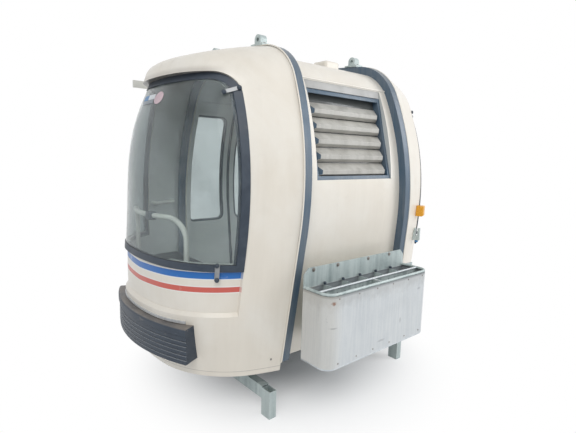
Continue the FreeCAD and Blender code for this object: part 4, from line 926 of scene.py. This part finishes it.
def makeLouvreTrim():
    edge, foot, slant, depth, upward, outward = louvreCorners()

    def onWindow(x, out, along):
        place = foot + outward * out + upward * along
        return Vector((x, place.y, place.z))

    # rounded lip over the window
    reach = louvreTrim["lipReach"]
    lipZ = onWindow(0, 0, slant).z + louvreTrim["lipRise"]
    lipY = hitOn("roof_panel", (0, -2, lipZ), (0, 1, 0)).y
    route = [(x, lipY, lipZ) for x in (-reach, 0, reach)]
    lip = tubeThrough("louvre_head_lip", route, louvreTrim["lipRadius"])
    finishPiece(lip, creamMaterial, 60)
    # dark pane behind the slats
    border, back = louvreTrim["paneBorder"], louvreTrim["paneBack"] - depth
    corners = ((-edge - border, border), (edge + border, border), (edge + border, slant - border),
               (-edge - border, slant - border))
    pane = makePlate("louvre_pane", [onWindow(x, back, along) for x, along in corners],
                     louvreTrim["paneSheet"], 0.001)
    finishPiece(pane, smokeMaterial, 30)
    # a grey strip, painted shade of the reveal, and the bar below it, above the slats
    left = edge + louvreTrim["headerGap"]
    for name, start, end, out, material in louvreTrim["headers"]:
        corners = ((left, slant - end), (-left, slant - end), (-left, slant - start), (left, slant - start))
        strip = makePlate(name, [onWindow(x, out, along) for x, along in corners],
                          louvreTrim["headerSheet"], 0.0015)
        finishPiece(strip, material, 30)
    # folded slats with a cheek at each end
    low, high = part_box("louvre_slats")
    pitch = (slant - louvreTrim["footRoom"] - louvreTrim["headRoom"]) / louvreTrim["count"]
    root = onWindow(edge, -louvreTrim["slatBack"], 0)
    slats, cheeks = [], []
    for number in range(louvreTrim["count"]):
        base = louvreTrim["footRoom"] + number * pitch
        outline = [onWindow(low.x, out - louvreTrim["slatBack"], base + share * pitch)
                   for out, share in louvreTrim["profile"]]
        slats.append(makeSlat(outline, high.x - low.x, root, outward))
        for side, turn in ((low.x, 1), (high.x, -1)):
            points = []
            for place in outline[:-1]:
                isOut = (place - root).dot(outward) > louvreTrim["mitreFrom"]
                inward = louvreTrim["cheekSheet"] + (louvreTrim["mitre"] if isOut else 0.0)
                points.append((side + turn * inward, place.y, place.z))
            cheeks.append(makePlate("cheek", points, louvreTrim["cheekSheet"]))
    slatPiece = joinPieces("louvre_folded_slats", slats)
    finishPiece(slatPiece, aluminiumMaterial, 8)
    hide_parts("louvre_slats")
    finishPiece(joinPieces("louvre_cheeks", cheeks), slateMaterial, 30)


makeLouvreTrim()
print("stage: louvre trim")


# ski box
skiTrim = {
    "sheet": 0.004,
    "dividers": 6,
    "barRadius": 0.0065,
    "barInset": 0.010,
    "crossShare": 0.55,
    "crossDrop": 0.002,
    "trough": 0.085,
    "stop": (0.009, 0.014),
    "stopBack": 0.012,
    "stopDrop": 0.004,
    "plug": (0.0075, 0.004),
    "plugDrop": 0.026,
    "plugs": (-0.441, -0.356, -0.295, -0.203, -0.146, 0.004, 0.102, 0.165, 0.258, 0.317),
    "bolt": (0.013, 0.007, 0.024),
    "boltDrop": 0.014,
    "plateBolts": (-0.435, -0.241, 0.034, 0.245),
    "rivet": (0.0045, 0.002),
    "rivetDrop": 0.016,
    "rivetRise": 0.022,
    "rivetsTop": (-0.434, -0.276, -0.120, 0.028, 0.180, 0.330),
    "rivetsFoot": (-0.426, -0.278, -0.133, 0.021, 0.173, 0.325),
}


def makeSkiTrim():
    low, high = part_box("ski_box")
    rimLow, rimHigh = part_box("ski_box_rim")
    plateLow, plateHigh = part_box("ski_box_back")
    troughY = low.y + skiTrim["sheet"] + skiTrim["trough"]
    rimZ = (rimLow.z + rimHigh.z) / 2
    radius, inset = skiTrim["barRadius"], skiTrim["barInset"]
    route = [(x, troughY, rimZ) for x in (low.x + inset, 0, high.x - inset)]
    bar = tubeThrough("ski_box_inner_bar", route, radius)
    crossZ = rimZ - skiTrim["crossDrop"]
    route = [((low.x + high.x) / 2, y, crossZ) for y in (low.y + inset, troughY)]
    across = tubeThrough("cross_bar", route, radius * skiTrim["crossShare"])
    finishPiece(joinPieces("ski_box_inner_bar", [bar, across]), rimMaterial, 60)
    # the same rod again under the box
    foot = copyOf("ski_box_foot_rod", "ski_box_rim")
    foot.matrix_world = Matrix.Translation((0, 0, low.z - skiTrim["sheet"] - rimZ))
    finishPiece(foot, rimMaterial, 60)
    # rubber stops on the dividers, and plugs along the divider wall of the trough
    pitch = (high.x - low.x - 2 * skiTrim["sheet"]) / skiTrim["dividers"]
    places = []
    for number in range(1, skiTrim["dividers"]):
        x = low.x + skiTrim["sheet"] + number * pitch
        places.append(((x, high.y - skiTrim["stopBack"], rimZ - skiTrim["stopDrop"]), (0, 0, 1)))
    stops = scatter("ski_box_stops", makeButton(*skiTrim["stop"]), places)
    finishPiece(stops, blackMaterial, 50)
    places = [((x, troughY, rimLow.z - skiTrim["plugDrop"]), (0, -1, 0)) for x in skiTrim["plugs"]]
    plugs = scatter("ski_box_plugs", makeButton(*skiTrim["plug"]), places)
    finishPiece(plugs, blackMaterial, 50)
    # bolts that hold the back plate, and rivets in rows on the front
    boltZ = plateHigh.z - skiTrim["boltDrop"]
    places = [((x, plateLow.y, boltZ), (0, -1, 0)) for x in skiTrim["plateBolts"]]
    bolts = scatter("ski_box_bolts", makeBolt(*skiTrim["bolt"]), places)
    finishPiece(bolts, darkSteelMaterial, 30)
    places = []
    rows = {"rivetsTop": rimLow.z - skiTrim["rivetDrop"], "rivetsFoot": low.z + skiTrim["rivetRise"]}
    for row, z in rows.items():
        places += [((x, low.y, z), (0, -1, 0)) for x in skiTrim[row]]
    rivets = scatter("ski_box_rivets", makeButton(*skiTrim["rivet"]), places)
    finishPiece(rivets, darkSteelMaterial, 50)


makeSkiTrim()
print("stage: ski box trim")


# window clips, and the lining of the window rubber
clipTrim = {"knob": (0.0125, 0.013, 0.002), "fromEnd": 0.006, "sink": 0.002, "zone": 0.02}
liningTrim = {"radius": 0.005, "from": 0.30, "aimZ": 1.38}


# the corners of each separate solid of a frame piece
def islands(node):
    copyOf("islands", node)
    bpy.ops.object.mode_set(mode="EDIT")
    bpy.ops.mesh.select_all(action="SELECT")
    bpy.ops.mesh.separate(type="LOOSE")
    bpy.ops.object.mode_set(mode="OBJECT")
    found = list(bpy.context.selected_objects)
    shapes = [[vertex.co.copy() for vertex in part.data.vertices] for part in found]
    for part in found:
        bpy.data.objects.remove(part)
    return shapes


# a knob at each end of each clip
def makeClipKnobs():
    for end in ends:
        places = []
        for points in islands(end + "_window_clips"):
            first = max(points, key=lambda co: (co - points[0]).length)
            last = max(points, key=lambda co: (co - first).length)
            along = (last - first).normalized()
            middle = sum(points, Vector()) / len(points)
            out = Vector((middle.x * 0.7, (middle.y - middleY) * 1.3, 0)).normalized()
            for tip, inward in ((first, along), (last, -along)):
                zone = [co for co in points if abs((co - tip).dot(along)) < clipTrim["zone"]]
                centre = sum(zone, Vector()) / len(zone) + inward * clipTrim["fromEnd"]
                top = max((co - centre).dot(out) for co in zone)
                places.append((centre + out * (top - clipTrim["sink"]), out))
        knobs = scatter(end + "_clip_knobs", makeButton(*clipTrim["knob"]), places)
        finishPiece(knobs, blackMaterial, 50)


# pale lining on the inner edge of the window rubber, where it turns round the sides
def isLining(point, inner, rim):
    if abs(point.y - middleY) < liningTrim["from"]:
        return False
    aim = (Vector((0, middleY, liningTrim["aimZ"])) - point).normalized()
    return inner.dot(aim) > 0.75 and abs(rim.dot(aim)) < 0.55


def makeLinings():
    for end in ends:
        bead = beadAlong(end + "_window_lining", end + "_window_seal", liningTrim["radius"], isLining)
        finishPiece(bead, benchMaterial, 60)


makeClipKnobs()
makeLinings()
print("stage: clip knobs and linings")


# bumpers: a bright strip over each, and a pale line on each rib's upper edge as a painted highlight
bumperTrim = {"stripHalf": 0.41, "stripRise": 0.014, "stripDepth": 0.006, "lift": 0.012,
              "highlightRadius": 0.0014, "border": 0.012}


def makeBumperTrim():
    for end, sign in ends.items():
        inward = (-sign, 0, 0)
        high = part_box(end + "_bumper")[1]
        strip = turnedSheet("grid", (sign * 1.5, middleY, high.z + bumperTrim["lift"]),
                            2 * bumperTrim["stripHalf"], bumperTrim["stripRise"], inward, (40, 2))
        pressOn(end + "_bumper_strip", end + "_end_shell", strip, inward, bumperTrim["stripDepth"])
        finishPiece(strip, brightMaterial, 40)


# pale beads on the ribs' upper edges, painted highlights
def makeRibHighlights():
    for end, sign in ends.items():
        low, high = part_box(end + "_bumper")

        def isRib(point, upper, outer):
            if not low.z + bumperTrim["border"] <= point.z <= high.z - bumperTrim["border"]:
                return False
            return upper.z > 0.45 and abs(outer.z) < 0.35 and outer.x * sign > 0.25

        bead = beadAlong(end + "_bumper_rib_highlights", end + "_bumper", bumperTrim["highlightRadius"], isRib)
        finishPiece(bead, ribHighlightMaterial, 60)


makeBumperTrim()
makeRibHighlights()
print("stage: bumper trim")


# blank stickers in the top corner of the front window: name, form, y, z, width, height, cells, finish
stickerSheet = 0.0006
stickerTrim = (
    ("front_window_label", "grid", 0.070, 1.812, 0.100, 0.030, (8, 2), labelMaterial),
    ("front_window_label_end", "grid", 0.166, 1.812, 0.088, 0.030, (8, 2), tabMaterial),
    ("front_window_label_foot", "grid", 0.120, 1.784, 0.190, 0.022, (12, 2), greyLabelMaterial),
    ("front_window_badge", "circle", -0.035, 1.800, 0.105, 0.072, (24, 1), badgeMaterial),
)


def makeStickers():
    for name, kind, y, z, across, rise, cells, material in stickerTrim:
        sheet = turnedSheet(kind, (-1.4, middleY + y, z), across, rise, (1, 0, 0), cells)
        pressOn(name, "front_window", sheet, (1, 0, 0), stickerSheet)
        finishPiece(sheet, material, 60)


makeStickers()
print("stage: blank stickers")


# back plate of the ski box, with its bars cut off behind the box
backTrim = {"keep": 0.0055, "cutReach": 0.130, "spare": 0.05}


def makeBackPlate():
    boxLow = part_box("ski_box")[0]
    low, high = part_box("ski_box_back")
    plate = copyOf("ski_box_back_plate", "ski_box_back")
    spare = backTrim["spare"]
    cutter = startBlock("cutter", (low.x - spare, low.y + backTrim["keep"], low.z - spare),
                        (boxLow.x + backTrim["cutReach"], high.y + spare, high.z + spare))
    applyModifier(plate, "BOOLEAN", object=cutter, operation="DIFFERENCE", solver="EXACT")
    bpy.data.objects.remove(cutter)
    finishPiece(plate, zincMaterial, 30)
    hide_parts("ski_box_back")


makeBackPlate()
print("stage: back plate")


# rails and fixings inside and on the roof
fixingTrim = {
    "railRadius": 0.013,
    "railY": 0.2,
    "railHeight": 1.12,
    "railReach": (0.74, 0.57),
    "railStand": 0.055,
    "railBend": 0.03,
    "railRoot": 0.002,
    # the clamp is at the guard rail's highest point, looked for along X: first place, step, steps
    "clampSearch": (0.90, 0.003, 60),
    "clampSearchZ": 1.4,
    "clampY": -0.03,
    "clampHalf": (0.022, 0.030),
    "clampDrop": 0.042,
    "clampRise": 0.007,
    "clampRound": 0.008,
    "bracketBolt": (0.015, 0.007, 0.022),
    "boltSpread": 0.036,
    "screw": (0.006, 0.003, 0.001),
    "screwX": 0.60,
    "screwZ": 0.345,
    # two corners of the sleeve, counted from the latch's lowest corner
    "sleeve": ((0.012, 0.012, -0.016), (0.030, 0.034, 0.012)),
    "sleeveRound": 0.004,
}


# a tube along the door-side wall, with both its ends turned into the wall
def makeWallRail(end, sign):
    y, z = middleY + fixingTrim["railY"], fixingTrim["railHeight"]
    start, stop = (hitOn(end + "_end_shell", (sign * x, y, z), (0, 1, 0)) for x in fixingTrim["railReach"])
    stand = Vector((0, fixingTrim["railStand"], 0))
    bend = Vector((sign * fixingTrim["railBend"], 0, 0))
    rooted = Vector((0, fixingTrim["railRoot"], 0))
    route = [start + rooted, start - stand * 0.6, start - stand, start - stand - bend,
             stop - stand + bend, stop - stand, stop - stand * 0.6, stop + rooted]
    rail = tubeThrough(end + "_wall_rail", route, fixingTrim["railRadius"], 3)
    finishPiece(rail, tubeMaterial, 60)


# a clamp round the guard rail
def makeRailClamp(end, sign):
    y = middleY + fixingTrim["clampY"]
    first, step, steps = fixingTrim["clampSearch"]
    starts = [(sign * (first + step * number), y, fixingTrim["clampSearchZ"]) for number in range(steps)]
    found = [castOn(end + "_guard_rail", start, (0, 0, -1)) for start in starts]
    top = max((hit[0] for hit in found if hit), key=lambda point: point.z)
    halfX, halfY = fixingTrim["clampHalf"]
    clamp = roundBlock(end + "_rail_clamp", (top.x - halfX, y - halfY, top.z - fixingTrim["clampDrop"]),
                       (top.x + halfX, y + halfY, top.z + fixingTrim["clampRise"]), fixingTrim["clampRound"])
    finishPiece(clamp, blackMaterial, 40)


# bolts in the feet of the hanger brackets
def makeBracketBolts(end):
    places = []
    for points in islands(end + "_hanger_brackets"):
        x, y = ((min(co[axis] for co in points) + max(co[axis] for co in points)) / 2 for axis in (0, 1))
        for side in (-1, 1):
            start = (x, y + side * fixingTrim["boltSpread"], topZ + 0.3)
            hit = castOn(end + "_hanger_brackets", start, (0, 0, -1))
            if hit and hit[1].z > 0.9:
                places.append(hit)
    bolts = scatter(end + "_bracket_bolts", makeBolt(*fixingTrim["bracketBolt"]), places)
    finishPiece(bolts, darkSteelMaterial, 30)


# screws through the skirt beside the arch
def makeShellScrews(end, sign):
    places = []
    for direction in (1, -1):
        start = (sign * fixingTrim["screwX"], -2 * direction, fixingTrim["screwZ"])
        places.append(castOn(end + "_end_shell", start, (0, direction, 0)))
    screws = scatter(end + "_shell_screws", makeButton(*fixingTrim["screw"]), places)
    finishPiece(screws, darkSteelMaterial, 50)


def makeLatchSleeve():
    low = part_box("rear_latch")[0]
    start, stop = (low + Vector(corner) for corner in fixingTrim["sleeve"])
    sleeve = roundBlock("rear_latch_sleeve", start, stop, fixingTrim["sleeveRound"])
    finishPiece(sleeve, tabMaterial, 40)


for endName, endSign in ends.items():
    makeWallRail(endName, endSign)
    makeRailClamp(endName, endSign)
    makeBracketBolts(endName)
    makeShellScrews(endName, endSign)
makeLatchSleeve()
print("stage: rails and fixings")


# seat pads
padTrim = {"voxel": 0.007, "shrink": 0.006, "cap": 0.009, "seams": 2, "seamDepth": 0.007, "seamWidth": 0.008,
           "pressure": 4, "frames": 20, "floorGap": 0.0005}


# blows a cushion up with cloth under pressure, and limits how far each point moves
def puffUp(piece, floorZ):
    before = [vertex.co.copy() for vertex in piece.data.vertices]
    makeActive(piece)
    cloth = piece.modifiers.new("Cloth", "CLOTH")
    cloth.settings.use_pressure = True
    cloth.settings.uniform_pressure_force = padTrim["pressure"]
    cloth.settings.effector_weights.gravity = 0
    cloth.collision_settings.use_collision = False
    for number in range(1, padTrim["frames"] + 1):
        bpy.context.scene.frame_set(number)
    bpy.ops.object.modifier_apply(modifier=cloth.name)
    bpy.context.scene.frame_set(1)
    for vertex, was in zip(piece.data.vertices, before):
        move = vertex.co - was
        if move.length > padTrim["cap"]:
            vertex.co = was + move * (padTrim["cap"] / move.length)
        vertex.co.z = max(vertex.co.z, floorZ)


def makePads():
    for end in ends:
        name = end + "_seat_pad"
        low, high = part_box(name)
        pad = copyOf(end + "_seat_cushion", name)
        middle = (low + high) / 2
        size = high - low
        shares = [1 - 2 * padTrim["shrink"] / length for length in size]
        shrink = Matrix.Diagonal((*shares, 1))
        pad.matrix_world = Matrix.Translation(middle) @ shrink @ Matrix.Translation(-middle)
        settle(pad)
        applyModifier(pad, "REMESH", mode="VOXEL", voxel_size=padTrim["voxel"])
        puffUp(pad, low.z + padTrim["floorGap"])
        applyModifier(pad, "SUBSURF", levels=1, render_levels=1)
        # sewn seams between the places
        for number in range(1, padTrim["seams"] + 1):
            line = low.y + size.y * number / (padTrim["seams"] + 1)
            for vertex in pad.data.vertices:
                away = (vertex.co.y - line) / padTrim["seamWidth"]
                if abs(away) < 3 and vertex.co.z > middle.z:
                    vertex.co.z -= padTrim["seamDepth"] * math.exp(-away * away)
        finishPiece(pad, vinylMaterial, 60)
        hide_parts(name)


makePads()
print("stage: seat pads")


cameraLook = {"place": (-2.06, -2.449, 1.504), "turn": 40.72, "tilt": 8.21, "roll": 1.59, "lens": 27.09}


def placeCamera():
    camera = bpy.data.cameras.new("camera")
    camera.lens = cameraLook["lens"]
    camera.sensor_width = 36
    holder = bpy.data.objects.new("camera", camera)
    bpy.context.scene.collection.objects.link(holder)
    turn = Matrix.Rotation(-math.radians(cameraLook["turn"]), 4, "Z")
    tilt = Matrix.Rotation(math.radians(90 - cameraLook["tilt"]), 4, "X")
    roll = Matrix.Rotation(math.radians(cameraLook["roll"]), 4, "Z")
    place = Vector(cameraLook["place"]) + Vector((0, middleY, 0))
    holder.matrix_world = Matrix.Translation(place) @ turn @ tilt @ roll
    bpy.context.scene.camera = holder


# the floor takes shadows near the cabin, and is plain white further out
floorLook = {"colour": (0.88, 0.88, 0.88), "size": 60, "clear": 0.25, "white": 1.25}
worldLook = {"colour": (0.86, 0.93, 1.0), "strength": 0.52}


# what the camera sees by itself, through glass or in a reflection
def seenRays(tree):
    path = addNode(tree, "ShaderNodeLightPath").outputs
    seen = mathNode(tree, "MAXIMUM", path["Is Camera Ray"], path["Is Transmission Ray"])
    return mathNode(tree, "MAXIMUM", seen, path["Is Glossy Ray"])


def makeFloor():
    clearSelection()
    bpy.ops.mesh.primitive_plane_add(size=floorLook["size"], location=(0, 0, 0))
    floor = bpy.context.object
    floor.name = "studioFloor"
    material, tree, shader = newMaterial("floorPaper", Roughness=0.9, Base_Color=floorLook["colour"])
    length = vectorNode(tree, "LENGTH", objectPlace(tree))["Value"]
    far = rangeNode(tree, length, floorLook["clear"], floorLook["white"], smooth=True)
    share = mathNode(tree, "MULTIPLY", far, seenRays(tree))
    white = addNode(tree, "ShaderNodeEmission", None, Color=(1, 1, 1), Strength=1.0).outputs[0]
    feedNode(tree, tree.nodes["Material Output"], Surface=mixShaders(tree, share, shader.outputs[0], white))
    floor.data.materials.append(material)


def makeWorld():
    world = bpy.data.worlds.new("studio")
    world.use_nodes = True
    bpy.context.scene.world = world
    tree = world.node_tree
    soft = tree.nodes["Background"]
    feedNode(tree, soft, Color=worldLook["colour"], Strength=worldLook["strength"])
    white = addNode(tree, "ShaderNodeBackground", None, Color=(1, 1, 1), Strength=1.0).outputs[0]
    mixed = mixShaders(tree, seenRays(tree), soft.outputs[0], white)
    feedNode(tree, tree.nodes["World Output"], Surface=mixed)


# two soft lamps that face a point above the cabin's floor: place, power, colour
lampSize = 4.0
lampAim = (0, 0, 1.0)
lampLook = {
    "keyLight": ((-3.7, -3.5, 5.0), 143, (1.0, 0.98, 0.95)),
    "fillLight": ((4.5, -4.0, 3.5), 176, (0.97, 0.98, 1.0)),
}


def makeLamps():
    for name, (place, power, colour) in lampLook.items():
        lamp = bpy.data.lights.new(name, "AREA")
        lamp.shape = "DISK"
        lamp.size = lampSize
        lamp.energy = power
        lamp.color = colour
        holder = bpy.data.objects.new(name, lamp)
        bpy.context.scene.collection.objects.link(holder)
        back = Vector(place) - Vector(lampAim)
        turn = back.to_track_quat("Z", "Y").to_matrix().to_4x4()
        holder.matrix_world = Matrix.Translation(place) @ turn


placeCamera()
makeFloor()
makeWorld()
makeLamps()
bpy.context.scene.view_settings.view_transform = "Standard"
print("stage: camera, floor and light")
